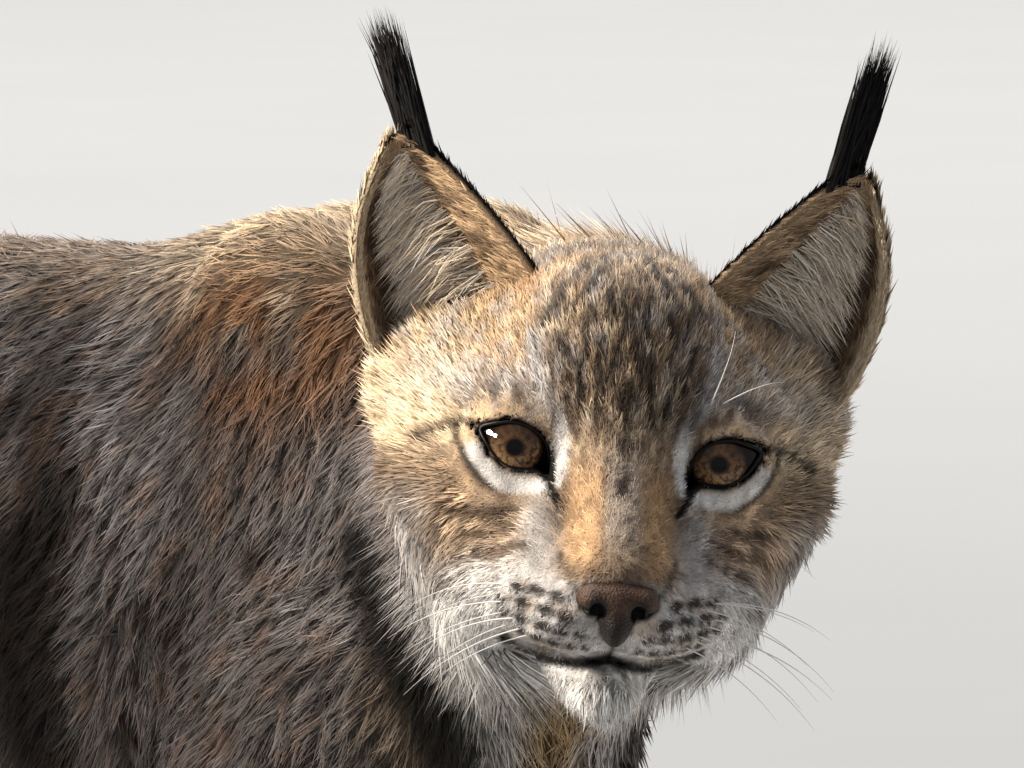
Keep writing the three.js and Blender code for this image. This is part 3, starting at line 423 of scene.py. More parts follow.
def head_skin(H):
    H = np.asarray(H, "f")
    d = throat_and_head(H) + head_depth(H)
    f, a, u = folded(H)
    eye = near_eye(f, a, u, -22)
    edge = lid_distance(a[eye], u[eye])
    off_middle = np.sqrt((f[eye] - EYE_DEPTH) ** 2 + (a[eye] - EYE_ASIDE) ** 2 + u[eye] ** 2)
    ball = np.maximum(off_middle - EYE_RADIUS - 0.3, edge - 2.5)
    opening = np.maximum(edge, -9 - f[eye])
    d[eye] = cut(1.6, cut(0.5, d[eye], ball), opening)
    mouth = (a < 39) & (u > -74) & (u < -50) & (f > -24)
    groove = np.maximum(distance_to_line(a[mouth], u[mouth], lip_curve) - 0.35, -1.6 - d[mouth])
    d[mouth] = cut(1.4, d[mouth], groove)
    return d


def body_skin(P):
    d = body_with_toes(P) + body_depth(P)
    return np.maximum(d, to_head(P)[:, 0] + 80)


# %% [markdown]
# A distance field becomes a mesh by sampling it on a lattice and walking its zero. The face is
# sampled every 1.5 mm and the body every 6 mm; both meshes run on inside each other at the neck, so
# no seam shows, and their points are then pulled onto the exact surface.

# %% From distances to a mesh
def surface(field, low, high, step):
    """Points and quads where the field is zero."""
    counts = [int(round((b - a) / step)) + 1 for a, b in zip(low, high)]
    lines = [low[i] + step * np.arange(counts[i], dtype="f") for i in range(3)]
    values = np.empty(counts, "f")
    for i, x in enumerate(lines[0]):
        Y, Z = np.meshgrid(lines[1], lines[2], indexing="ij")
        sheet = np.stack([np.full(Y.size, x, "f"), Y.ravel(), Z.ravel()], axis=1)
        values[i] = field(sheet).reshape(counts[1], counts[2])
    for axis in range(3):
        for end in (0, -1):
            values[tuple(end if i == axis else slice(None) for i in range(3))] = step
    grid = openvdb.FloatGrid(2 * step)
    grid.copyFromArray(np.clip(values, -2 * step, 2 * step))
    points, quads = grid.convertToQuads()
    points = points * step + np.array(low, "f")
    for pull in range(2):
        d, slope = field(points), gradient(field, points)
        steep = np.maximum((slope**2).sum(1), 0.25)
        move = np.clip(d / steep, -step, step)
        inner = np.all((points > np.array(low) + step) & (points < np.array(high) - step), axis=1)
        points = points - (0.8 * move * inner)[:, None] * slope
    return points, quads


def gradient(field, P, h=0.4):
    rows = []
    for axis in range(3):
        offset = np.zeros(3, "f")
        offset[axis] = h
        rows.append((field(P + offset) - field(P - offset)) / (2 * h))
    return np.stack(rows, axis=1)


def mesh_object(name, points, faces, per_face):
    """An object from arrays, with the same number of corners in each face."""
    mesh = bpy.data.meshes.new(name)
    mesh.vertices.add(len(points))
    mesh.vertices.foreach_set("co", np.asarray(points, "f").ravel())
    mesh.loops.add(faces.size)
    mesh.loops.foreach_set("vertex_index", np.asarray(faces, "i").ravel())
    mesh.polygons.add(len(faces))
    mesh.polygons.foreach_set("loop_start", np.arange(0, faces.size, per_face, dtype="i"))
    mesh.polygons.foreach_set("loop_total", np.full(len(faces), per_face, "i"))
    mesh.polygons.foreach_set("use_smooth", np.ones(len(faces), bool))
    mesh.update()
    thing = bpy.data.objects.new(name, mesh)
    bpy.context.scene.collection.objects.link(thing)
    return thing


def only(thing):
    """Selects one object and nothing else."""
    bpy.ops.object.select_all(action="DESELECT")
    thing.select_set(True)
    bpy.context.view_layer.objects.active = thing


HEAD_STEP, BODY_STEP = 1.5, 6.0
HEAD_BOX = (-108, -86, -94), (64, 86, 74)
BODY_BOX = (-650, -130, -12), (236, 130, 672)
SOLE_HEIGHT = 1.0
head_points, head_quads = surface(head_skin, *HEAD_BOX, HEAD_STEP)
head_points = from_head(head_points)
body_points, body_quads = surface(body_skin, *BODY_BOX, BODY_STEP)
body_points[:, 2] = np.maximum(body_points[:, 2], SOLE_HEIGHT)
print("skin of the head has", len(head_quads), "faces and the body", len(body_quads))

# %% [markdown]
# The coat is rooted in this skin, and each tuft takes its colour and its place on the texture from
# its root. So both halves are unwrapped first, then read back as plain arrays, and only then joined
# into the one skin that stands for all the flesh.

# %% The skin, unwrapped and joined
def unwrap(thing):
    only(thing)
    thing.data.uv_layers.new(name="UVMap")
    bpy.ops.object.mode_set(mode="EDIT")
    bpy.ops.mesh.select_all(action="SELECT")
    bpy.ops.uv.smart_project(angle_limit=math.radians(66), island_margin=0.002)
    bpy.ops.object.mode_set(mode="OBJECT")


def ground_of(thing):
    """What a coat needs of the skin under it: triangles, their normals and their unwrap."""
    mesh = thing.data
    count = len(mesh.vertices)
    points = np.empty(count * 3, "f")
    normals = np.empty(count * 3, "f")
    mesh.vertices.foreach_get("co", points)
    mesh.vertices.foreach_get("normal", normals)
    mesh.calc_loop_triangles()
    total = len(mesh.loop_triangles)
    corners = np.empty(total * 3, "i")
    loops = np.empty(total * 3, "i")
    mesh.loop_triangles.foreach_get("vertices", corners)
    mesh.loop_triangles.foreach_get("loops", loops)
    uv = np.empty(len(mesh.loops) * 2, "f")
    mesh.uv_layers[0].data.foreach_get("uv", uv)
    corners = corners.reshape(-1, 3)
    return {
        "P": (points.reshape(-1, 3) / MM - ORIGIN)[corners],
        "N": normals.reshape(-1, 3)[corners],
        "UV": uv.reshape(-1, 2)[loops.reshape(-1, 3)],
    }


def joined(things):
    """One object from several, which takes the first one's name."""
    only(things[0])
    for thing in things:
        thing.select_set(True)
    bpy.ops.object.join()
    return things[0]


head_half = mesh_object("skin", to_world(head_points), head_quads, 4)
body_half = mesh_object("skin_of_body", to_world(body_points), body_quads, 4)
unwrap(head_half)
unwrap(body_half)
head_ground, body_ground = ground_of(head_half), ground_of(body_half)
skin = joined([head_half, body_half])
unwrap(skin)
print("the skin has", len(skin.data.polygons), "faces")

# %% [markdown]
# Markings are painted by rule: grounds that blend over regions, strokes along short lines in the
# plane of the face, and spots scattered over a jittered lattice. The same rule colours the skin and
# every tuft, so a mark never ends where the hair begins.

# %% Noise and spots
def hashed(cells, seed):
    """A number between 0 and 1 for each lattice cell, the same each time."""
    x, y, z = (cells[:, i].astype(np.int64) for i in range(3))
    n = (x * 73856093) ^ (y * 19349663) ^ (z * 83492791) ^ (seed * 2654435761)
    n = (n ^ (n >> 13)) * 1274126177
    return ((n ^ (n >> 16)) & 0xFFFF) / 65535.0


def noise(P, size, seed=0):
    """Smooth random values between 0 and 1, with features about `size` wide."""
    Q = np.asarray(P, float) / size
    low = np.floor(Q)
    t = Q - low
    t = t * t * (3 - 2 * t)
    total = np.zeros(len(Q))
    for corner in range(8):
        step = np.array([corner & 1, (corner >> 1) & 1, corner >> 2])
        weight = np.prod(np.where(step, t, 1 - t), axis=1)
        total += weight * hashed(low + step, seed)
    return total


def flecked(P, size, seed, low, high):
    """The noise made harder: 0 where it is under `low`, 1 where it is over `high`."""
    return smooth(low, high, noise(P, size, seed))


def swirl(P, size, amount, seed):
    """A slow, random drift, up to `amount` each way."""
    turn = np.stack([noise(P, size, seed + i) for i in range(3)], axis=1)
    return 2 * amount * (turn - 0.5)


def middles_around(P, size, seed):
    """For each of the 27 cells around a point: the cell, and the way to its jittered middle."""
    cells = np.floor(P / size)
    for i in range(27):
        cell = cells + np.array([i % 3, (i // 3) % 3, i // 9]) - 1
        jitter = np.stack([hashed(cell, seed + axis) for axis in range(3)], axis=1)
        yield cell, (cell + jitter) * size - P


def spots(P, spacing, radius, seed):
    """1 in the middle of round spots scattered about `spacing` apart, 0 outside them."""
    nearest = np.full(len(P), FAR)
    for cell, way in middles_around(P, spacing, seed):
        size = 0.55 + 0.7 * hashed(cell, seed + 7)
        nearest = np.minimum(nearest, np.linalg.norm(way, axis=1) / size)
    return smooth(1.15 * radius, 0.55 * radius, nearest)


# %% [markdown]
# The paints are colours as they look on the screen. A pattern is a ground and a list of layers, each
# a paint and a mask between 0 and 1 that says where it lies.

# %% Paints
def paint(red, green, blue):
    """A paint as seen on screen, turned into the light that the renderer works in."""
    return ((np.array([red, green, blue]) / 255) ** 2.2).astype("f")


CREAM, WHITE, PALE_GREY = paint(222, 200, 168), paint(226, 224, 222), paint(176, 172, 170)
TAN, OCHRE, RUST = paint(192, 163, 130), paint(190, 152, 112), paint(140, 100, 68)
GREY_BROWN, SILVER = paint(122, 104, 88), paint(158, 155, 156)
UMBER, SOOT, BLACK = paint(66, 50, 39), paint(34, 28, 25), paint(12, 10, 9)
# The throat's paint is a tan darkened as painted shade; the throat itself is paler.
SHADED_THROAT, SAND = paint(158, 134, 98), paint(228, 204, 170)
FLANK, BROW = paint(112, 105, 102), paint(136, 117, 97)


def lay(ground, colour, mask):
    mask = np.clip(mask, 0, 1)[:, None]
    return ground * (1 - mask) + colour * mask


def all_of(colour, count):
    return np.tile(colour, (count, 1))


def layered(ground, layers):
    for colour, mask in layers:
        ground = lay(ground, colour, mask)
    return ground


def stroke(a, u, line, width, soft=0.6):
    """A painted line: 1 along it and 0 beyond half its width."""
    d = distance_to_line(a, u, line)
    return smooth(width / 2 + soft, max(width / 2 - soft, 0.05), d)


print("silver is", SILVER.round(3), "in light, and soot", SOOT.round(3))

# %% [markdown]
# The face pattern, read outward from the eye: black rim, white crescent, thin dark line under it,
# pale patch by the inner corner. Then the forehead stripes, the bands behind the cheek, the rows of
# dots from which the whiskers grow, and the black edge of the ruff.

# %% Marks of the face
CRESCENT = [(24.5, -11.5), (30, -12.0), (36, -11.2), (41, -8.2), (45.5, -2.5)]
UNDERLINE = [(50.5, 6), (50.5, 1.5), (47.5, -5), (43, -10.5), (37.5, -14.5), (31, -17)]
CORNER_LINE = [(44, 5.5), (49, 6.5), (55, 4.0), (60, -1.0)]
INNER_PATCH = [(19.6, -9), (18.6, -1), (18.8, 6)]
BROW_STREAK = [(19.0, 6), (20.6, 10.5), (25.2, 17), (28, 27), (28.5, 33)]
TEAR_LINE = [(23, -8.5), (20.8, -12.5), (18.6, -17)]
BROW_SMUDGE = [(28, 13), (35, 16.5), (42, 15)]
FOREHEAD = [
    [(0, -12), (0.3, 6), (0.5, 18), (1.0, 32), (2.0, 50)],
    [(3.2, 20), (4.8, 33), (5.6, 50)],
    [(8.4, 10), (6.8, 20), (8.6, 34)],
    [(7, 62), (12, 52), (19, 42)],
    [(14, 58), (20, 50), (26, 39)],
    [(11.5, 44), (13.4, 36), (13.0, 28)],
    [(12.6, 12), (13.4, 18), (15, 26)],
    [(17.6, 20), (18.4, 28), (21, 34)],
]
BROW_LINES = [[(21.8, 9), (21.9, 18), (23.2, 28)], [(16, 6), (16.4, 12), (18, 20)]]
# A soft line of painted shade in the crease between the bridge and the whisker pad.
FURROW_SHADE = [(13.2, -42.5), (15.4, -38), (17.8, -32)]
CHEEK_BANDS = [
    [(31, -19), (40, -21.5), (51, -19)],
    [(29, -24.5), (38, -27), (50, -26)],
    [(28, -30), (38, -33), (48, -34)],
    [(60, 3), (61, -6), (60.5, -19), (54, -34), (44, -44)],
    [(69, -8), (69, -22), (62, -38)],
]
WHISKER_SPOTS = [
    (18.4, -45.0, 1.4), (24.3, -43.6, 1.4), (30.0, -43.0, 1.2),
    (15.4, -51.0, 1.5), (21.6, -49.3, 1.5), (28.1, -47.8, 1.4), (33.6, -46.6, 1.0),
    (10.6, -56.0, 1.0), (16.0, -55.4, 1.2), (22.0, -54.2, 1.3), (28.0, -52.6, 1.2), (33.0, -50.8, 0.9),
    (8.0, -60.0, 0.8), (13.0, -60.0, 0.9), (18.0, -59.3, 0.9), (23.0, -58.0, 0.9), (27.6, -56.6, 0.8),
]
RUFF_EDGE = [(74, -36), (68, -51), (60, -70), (51, -87), (44, -102)]
print(len(FOREHEAD), "strokes on each half of the forehead and", len(WHISKER_SPOTS), "spots on each pad")

# %% [markdown]
# The ruff ends in black hair, and the gap behind it, before the shoulder, lies in shade: the black
# band on the neck paints both, black hair and painted shade. From in front that border is one line
# down the neck, so it is drawn along the line of sight and not along the head, and the pale hair of
# the throat fills it.

# %% The ruff and its border
SIGHT = 0.065  # how far aside the line of sight runs for each millimetre forward
BORDER_WIDTH = 20
BORDER_LIFT = 6


def ruff_share(H):
    """1 where the long hair of the ruff grows, behind and below the cheek."""
    f, a, u = folded(H)
    low = smooth(-8, -34, u + 0.25 * (f + 30))
    return smooth(-8, -34, f) * low * smooth(14, 34, a) * smooth(-112, -84, f)


def ruff_border(H):
    """1 on the black band of the neck just behind the ruff: black hair, and painted shade of the gap."""
    f, a, u = folded(H)
    border = stroke(a - SIGHT * f, u - BORDER_LIFT, RUFF_EDGE, BORDER_WIDTH, 4)
    return border * smooth(-26, -44, f) * smooth(-240, -205, f)


def under_ruff(H):
    """1 on the pale hair of the throat's sides, inside the black border."""
    f, a, u = folded(H)
    seen = a - SIGHT * f
    across, up = np.array(RUFF_EDGE[::-1], float).T
    within = smooth(2, -6, seen - np.interp(u - BORDER_LIFT, up, across))
    return within * smooth(16, 28, seen) * smooth(-24, -40, u) * smooth(-240, -205, f)


# %% [markdown]
# On the living face the grounds run into each other without an edge, so each is a product of soft
# steps. Noise in the masks of the brow gives the salt-and-pepper look of banded hair.

# %% The grounds of the face
def face_regions(H):
    f, a, u = folded(H)
    front = smooth(-50, -28, f)
    patch = noise(H, 16.0, 5)
    ear_foot = smooth(40, 50, a) * smooth(10, 20, u) * smooth(-34, -46, f)
    on_brow = smooth(34, 22, a) * smooth(-10, 4, u) * smooth(-84, -60, f)
    over_eye = smooth(16, 28, a) * smooth(34, 16, u) * smooth(10, 18, u) * front
    under_eye = smooth(62, 48, a) * smooth(24, 34, a) * smooth(-40, -26, u) * smooth(4, -12, u)
    bridge_side = smooth(4, 9, a) * smooth(20, 12, a) * smooth(-40, -30, u) * smooth(2, -14, u) * front
    bridge_top = smooth(7, 3, a) * smooth(-38, -20, u) * smooth(10, -6, u) * front
    pads = smooth(-37, -43, u) * smooth(36, 28, a) * smooth(-4, 12, f)
    return [
        (TAN, smooth(12, 40, a) * smooth(-4, 8, u) * (0.45 + 0.5 * patch)),
        (SAND, 0.8 * smooth(40, 54, a) * smooth(-10, 4, u)),
        (RUST, 0.35 * smooth(0.5, 0.8, patch) * smooth(10, 26, u) * smooth(44, 30, a)),
        (mix(GREY_BROWN, UMBER, 0.45), 0.75 * ear_foot * flecked(H, (6.0, 4.0, 8.0), 24, 0.3, 0.6)),
        (PALE_GREY, 0.6 * flecked(H, (5.0, 3.6, 8.0), 7, 0.46, 0.66) * smooth(4, 16, u)),
        (TAN, 0.6 * flecked(H, (6.0, 4.0, 7.0), 10, 0.52, 0.68) * smooth(10, 24, u)),
        (UMBER, 0.62 * on_brow * flecked(H, (3.6, 2.2, 4.6), 19, 0.5, 0.64)),
        (CREAM, 0.5 * on_brow * flecked(H, (3.0, 1.8, 3.6), 21, 0.56, 0.72)),
        (PALE_GREY, 0.5 * over_eye),
        (PALE_GREY, smooth(-8, -24, u) * smooth(14, 26, a)),
        (TAN, 0.8 * under_eye),
        (GREY_BROWN, 0.8 * under_eye * flecked(H, 6.0, 8, 0.35, 0.65)),
        (WHITE, 0.85 * smooth(-32, -50, u) * smooth(20, 40, a)),
        (OCHRE, 0.75 * bridge_side),
        (PALE_GREY, 0.3 * bridge_top),
        (PALE_GREY, pads),
        (WHITE, 0.5 * pads * flecked(H, 4.0, 12, 0.4, 0.7)),
        (OCHRE, 0.25 * pads * flecked(H, (8.0, 7.0, 2.6), 13, 0.45, 0.7)),
        (WHITE, smooth(-62, -67, u) * smooth(50, 34, a) * smooth(-40, -20, f)),
    ]


# %% [markdown]
# The marks lie over the grounds, in the order in which hair covers hair: the stripes first, then the
# black and white round the eye, the dots, and last the skin's own black at lips, nose and lids, with
# painted shade in the furrow beside the nose.

# %% The pattern of the face
def stripes(H, front):
    f, a, u = folded(H)
    wavy = a + 2.4 * (noise(H, 8.0, 17) - 0.5)
    smudged = flecked(H, (5.0, 3.0, 9.0), 9, 0.35, 0.6)
    layers = [
        (WHITE, 0.9 * front * stroke(a, u, INNER_PATCH, 4.8, 1.2)),
        (PALE_GREY, 0.9 * front * stroke(a, u, BROW_STREAK, 4.4, 1.6)),
        (UMBER, 0.75 * smudged * front * stroke(a, u, BROW_SMUDGE, 6.0, 2.4)),
    ]
    for i, line in enumerate(FOREHEAD):
        broken = flecked(H, (6.0, 3.0, 5.0), 11 + i, 0.2, 0.45)
        layers.append((SOOT, 0.92 * broken * stroke(wavy, u, line, 2.7, 1.1) * smooth(-76, -50, f)))
    for line in BROW_LINES:
        layers.append((UMBER, 0.7 * front * stroke(wavy, u, line, 3.0, 1.4)))
    broken = flecked(H, (5.0, 4.0, 3.0), 23, 0.3, 0.55)
    for line in CHEEK_BANDS:
        layers.append((UMBER, 0.85 * broken * stroke(a, u, line, 2.8, 1.6) * smooth(-66, -50, f)))
    return layers


def eye_marks(H, front):
    f, a, u = folded(H)
    return [
        (mix(PALE_GREY, WHITE, 0.55), 0.95 * front * stroke(a, u, CRESCENT, 5.4, 1.3)),
        (BLACK, 0.9 * front * stroke(a, u, UNDERLINE, 2.0, 1.0) * smooth(30, 41, a)),
        (BLACK, 0.9 * front * stroke(a, u, CORNER_LINE, 2.2, 1.0)),
        (BLACK, front * stroke(a, u, TEAR_LINE, 2.8, 0.7)),
    ]


def whisker_dots(H):
    f, a, u = folded(H)
    layers = []
    for across, up, size in WHISKER_SPOTS:
        near = np.hypot((a - across) / 1.35, (u - up + 0.25 * (across - a)) / 0.9)
        layers.append((SOOT, 0.95 * smooth(2.1 * size, 0.9 * size, near) * (f > 4)))
    return layers


def bare_marks(H, front):
    """Painted shade in the furrow by the nose; lips, the parting under the nose, the chin's smudge, the
    leather's edge and the lids' rims.
    """
    f, a, u = folded(H)
    parting = smooth(1.7, 0.5, a) * smooth(-55, -57, u) * smooth(-66, -63, u) * (f > 20)
    lips = distance_to_line(a, u, lip_curve)
    smudge = np.hypot(H[:, 1] / 11, (u + 67.0) / 3.4)
    at_nose = (f > 28) & (a < 20) & (u < -30) & (u > -66)
    by_leather = np.zeros(len(H))
    by_leather[at_nose] = smooth(0.8, -0.2, leather_cushion(H[at_nose]))
    rim = lid_distance(np.clip(a, 10, 56), np.clip(u, -24, 24))
    by_eye = (f > -24) * (np.abs(u) < 22) * (a > 12) * (a < 56)
    return [
        # Painted shade in the furrow beside the nose.
        (SOOT, 0.75 * stroke(a, u, FURROW_SHADE, 2.0, 1.3) * front),
        (SOOT, 0.85 * parting),
        (BLACK, 0.95 * smooth(2.6, 1.0, lips) * (f > -22)),
        (SOOT, 0.75 * smooth(1.3, 0.4, smudge) * flecked(H, 2.0, 29, 0.35, 0.55) * (f > 8)),
        (BLACK, by_leather),
        (BLACK, smooth(2.3, 1.3, rim) * by_eye),
    ]


def face_paint(H):
    front = smooth(-50, -28, H[:, 0])
    marks = stripes(H, front) + eye_marks(H, front) + whisker_dots(H) + bare_marks(H, front)
    hanging, u = ruff_share(H), H[:, 2]
    ruff = [
        (PALE_GREY, 0.75 * hanging * smooth(-4, -20, u)),
        (WHITE, 0.55 * hanging * smooth(-26, -44, u)),
    ]
    colour = layered(all_of(BROW, len(H)), face_regions(H) + marks + ruff)
    return colour * (0.5 + noise(H, (3.0, 2.0, 4.0), 3))[:, None]


# %% [markdown]
# The body wears silver-grey guard hair over a darker, browner undercoat, rust over the withers, tan
# along the spine, small dark spots on the shoulder and larger ones on flank and thigh, a cream
# belly and a black tip to the tail. Light and shade are painted in as well: pale sand over the front
# of the ridge is painted light on the top of the back, the dark streaks on the flanks are partly the
# undercoat between locks and partly painted shade of folds, and a dark band behind the elbow and a
# darker tan on the throat are painted shade.

# %% The pattern of the body
def tail_share(P):
    """1 on the tail, which hangs behind the rump and ends above the hocks."""
    return smooth(-535, -560, P[:, 0]) * (P[:, 2] > 380)


def dark_spots(P):
    x, y, z = P.T
    small = spots(P, 25.0, 6.6, 41) * smooth(-150, -60, x) * smooth(600, 560, z)
    large = spots(P, 40.0, 11.5, 47) * smooth(-120, -200, x) * smooth(650, 620, z)
    low = spots(P, 30.0, 8.0, 53) * smooth(430, 380, z)
    return np.maximum(np.maximum(small, large), low)


def body_paint(P):
    x, y, z = P.T
    H = to_head(P)
    fine = noise(P, (4.5, 4.5, 11.0), 33)
    waver = P + swirl(P, 40.0, 7.0, 43)
    streaks = mix(noise(waver, (17.0, 30.0, 60.0), 37), noise(waver, (10.0, 12.0, 26.0), 36), 0.4)
    # Where the dark flank streaks lie: partly the undercoat between locks, partly painted shade of folds.
    flank_streaks_and_painted_shade = smooth(50, -50, x) * smooth(640, 600, z) * smooth(-380, -240, x) * smooth(400, 450, z)
    spine = smooth(592, 640, z)
    withers = np.exp(-(((x - 16) / 48) ** 2) - ((z - 602) / 25) ** 2)
    rusty = 1.3 * withers * flecked(waver, (16.0, 16.0, 22.0), 35, 0.25, 0.55)
    # Painted shade: a dark band in the fold behind the elbow.
    painted_shade_behind_elbow = np.exp(-(((x + 92) / 26) ** 2)) * smooth(570, 530, z) * smooth(420, 460, z)
    legs = smooth(400, 320, z)
    inner = smooth(60, 46, np.abs(y)) * legs
    tail_part = tail_share(P)
    layers = [
        (FLANK, 0.35 + 0.5 * flecked(P, 60.0, 31, 0.3, 0.7)),
        (FLANK, 0.6 * flecked(waver, (9.0, 14.0, 34.0), 38, 0.45, 0.62)),
        # Dark streaks on the flanks, partly undercoat and partly painted shade.
        (SOOT, 0.6 * smooth(0.5, 0.66, streaks) * flank_streaks_and_painted_shade),
        (TAN, 0.45 * smooth(-200, -330, x) + 0.4 * smooth(470, 400, z)),
        (RUST, 0.3 * flecked(P, 7.0, 39, 0.56, 0.74) * smooth(400, 450, z)),
        # Tan along the spine is the coat's own; the pale sand over the front of the ridge is painted light on
        # the top of the back.
        (TAN, 0.6 * spine),
        (SAND, 0.7 * spine * smooth(-130, -40, x)),
        (RUST, np.clip(rusty, 0, 0.85)),
        (RUST, 0.4 * smooth(-380, -470, x) * smooth(420, 520, z)),
        # Painted shade in the fold behind the elbow.
        (SOOT, painted_shade_behind_elbow * smooth(0.2, 0.5, streaks)),
        (CREAM, smooth(430, 385, z) * smooth(70, 30, np.abs(y)) * smooth(60, -20, x)),
        # Painted shade on the throat.
        (SHADED_THROAT, smooth(60, 110, x) * smooth(530, 480, z)),
        (TAN, 0.8 * legs),
        (CREAM, 0.8 * inner),
        (mix(UMBER, SOOT, 0.4), 0.9 * dark_spots(P) * (1 - 0.8 * inner)),
        (CREAM, 0.6 * smooth(80, 40, z)),
        (TAN, 0.7 * tail_part),
        (BLACK, tail_part * smooth(496, 472, z + 6 * fine)),
        (mix(PALE_GREY, WHITE, 0.4), 0.85 * under_ruff(H)),
        # Black hair of the ruff's edge, and painted shade of the gap behind it.
        (BLACK, 0.95 * ruff_border(H)),
    ]
    return layered(all_of(SILVER, len(P)), layers) * (0.55 + 0.9 * fine)[:, None]


def coat_paint(P):
    """The coat's colour at points of the animal: the body's, and the head's over it."""
    H = to_head(P)
    on_head = smooth(-104, -72, H[:, 0] + 10 * noise(P, 12.0, 61)) * (np.linalg.norm(H, axis=1) < 190)
    colour = body_paint(P)
    near = on_head > 0
    colour[near] = lay(colour[near], face_paint(H[near]), on_head[near])
    return colour


def store_colour(thing, colours, name="coat"):
    layer = thing.data.color_attributes.new(name, "FLOAT_COLOR", "POINT")
    rgba = np.ones((len(colours), 4), "f")
    rgba[:, :3] = colours
    layer.data.foreach_set("color", rgba.ravel())


on_shoulder = np.array([[20.0, -80.0, 520.0]])
print("a point of the shoulder is painted", coat_paint(on_shoulder)[0].round(3))

# %% [markdown]
# Hair could be particles, but those don't survive an export, and a curve for each hair is too much.
# So the coat is sown as tufts: thin three-sided spikes of a few faces, each rooted in the skin,
# leaving it at an angle and bending over along the lie of the coat. Arrays build hundreds of
# thousands of them in a few seconds.

# %% Sowing roots
def sow(ground, seed, spacing, keep):
    """Roots spread where `keep` says, `spacing` millimetres apart; that is a number or a rule."""
    random = np.random.default_rng(seed)
    P, N, UV = ground["P"], ground["N"], ground["UV"]
    middle = P.mean(1)
    area = np.linalg.norm(np.cross(P[:, 1] - P[:, 0], P[:, 2] - P[:, 0]), axis=1) / 2
    apart = spacing(middle) if callable(spacing) else spacing
    share = np.cumsum(area * (1 / apart**2 * keep(middle)))
    count = int(share[-1])
    picks = np.searchsorted(share, (np.arange(count) + random.random(count)) * share[-1] / count)
    picks = np.minimum(picks, len(P) - 1)
    s, t = random.random((2, count))
    s, t = np.where(s + t > 1, [1 - s, 1 - t], [s, t])
    weight = np.stack([1 - s - t, s, t], axis=1)[:, :, None]
    normals = (N[picks] * weight).sum(1)
    normals /= np.linalg.norm(normals, axis=1, keepdims=True)
    places, uv = (P[picks] * weight).sum(1), (UV[picks] * weight).sum(1)
    return {"P": places, "N": normals, "UV": uv, "random": random}


def unit(V):
    return V / np.maximum(np.linalg.norm(V, axis=1, keepdims=True), 1e-9)


def gather(P, size, seed):
    """The way from each root to the middle of its lock, and a random number for each lock."""
    best = np.full(len(P), FAR)
    way, number = np.zeros_like(P), np.zeros(len(P))
    for cell, to_middle in middles_around(P, size, seed):
        far = np.linalg.norm(to_middle, axis=1)
        nearer = far < best
        best = np.where(nearer, far, best)
        way[nearer] = to_middle[nearer]
        number[nearer] = hashed(cell, seed + 3)[nearer]
    return way, number


# %% [markdown]
# A tuft starts under the skin, leaves it at its lift and bends over to the lie. Its sides are thin,
# so its shading normals lean to the skin's own: the coat then takes the light like a surface, with
# only a little sparkle from tuft to tuft.

# %% The shape of a tuft
def tufts(roots, lie, long, wide, lift, bend, fall, ragged, rings, sink=0.6, uneven=0.2):
    """Spikes on the roots. `lift` is the angle they leave the skin at, in degrees, `bend` how far
    they come down to the lie, `fall` how much they hang, `ragged` how far each strays from the lie,
    `sink` how deep they start and `uneven` how much their lengths differ."""
    P, N, random = roots["P"], roots["N"], roots["random"]
    n = len(P)
    lie = lie + ragged * random.normal(size=(n, 3)) * np.linalg.norm(lie, axis=1, keepdims=True)
    flat = unit(lie - N * (lie * N).sum(1, keepdims=True))
    angle = np.radians(lift * (1 + 0.35 * random.normal(size=n)))[:, None]
    rise = flat * np.cos(angle) + N * np.sin(angle)
    over = unit(mix(rise, flat, bend) + [0, 0, -fall])
    long = (long * (1 + uneven * random.normal(size=n)).clip(0.5, 1.5))[:, None]
    wide = (wide * (1 + 0.2 * random.normal(size=n)).clip(0.6, 1.5))[:, None]
    across = unit(np.cross(flat, N) + 0.5 * random.normal(size=(n, 1)) * N)
    points, normals, along = [], [], []
    for ring in range(rings):
        t = ring / rings
        middle = P - sink * N + long * (rise * (t - t * t / 2) + over * (t * t / 2))
        thick = wide * (1 - 0.35 * t)
        up = unit(np.cross(rise, across))
        for turn in range(3):
            angle = 2 * math.pi * turn / 3
            out = across * math.cos(angle) + up * math.sin(angle)
            points.append(middle + 0.5 * thick * out)
            normals.append(unit(N + 0.55 * out))
            along.append(np.full(n, t))
    points.append(P - sink * N + long * (rise + over) / 2)
    normals.append(unit(N + 0.3 * rise))
    along.append(np.ones(n))
    tip = 3 * rings
    faces = [(0, 2, 1)]
    for ring in range(rings - 1):
        for turn in range(3):
            a, b = 3 * ring + turn, 3 * ring + (turn + 1) % 3
            faces += [(a, b, b + 3), (a, b + 3, a + 3)]
    faces += [(3 * (rings - 1) + turn, 3 * (rings - 1) + (turn + 1) % 3, tip) for turn in range(3)]
    per_tuft = tip + 1
    index = (np.arange(n)[:, None, None] * per_tuft + np.array(faces)).reshape(-1, 3)
    points, normals, along = (np.stack(rows, axis=1) for rows in (points, normals, along))
    return {
        "points": points.reshape(-1, 3),
        "normals": normals.reshape(-1, 3),
        "along": along.ravel(),
        "faces": index,
        "per": per_tuft,
    }


# %% [markdown]
# Each tuft is painted from the pattern at its root, dark at the foot and paler to the tip; the dark
# foot is partly the hair's own darker base and partly painted shade deep in the coat. Its unwrap is
# a small patch at the root's own place, so a baked picture holds every tuft's colour. A coat with
# many faces is shared out over several pieces, since one heavy mesh is slow to work with.

# %% A piece of coat
PATCH = 0.003
FACE_LIMIT = 190000


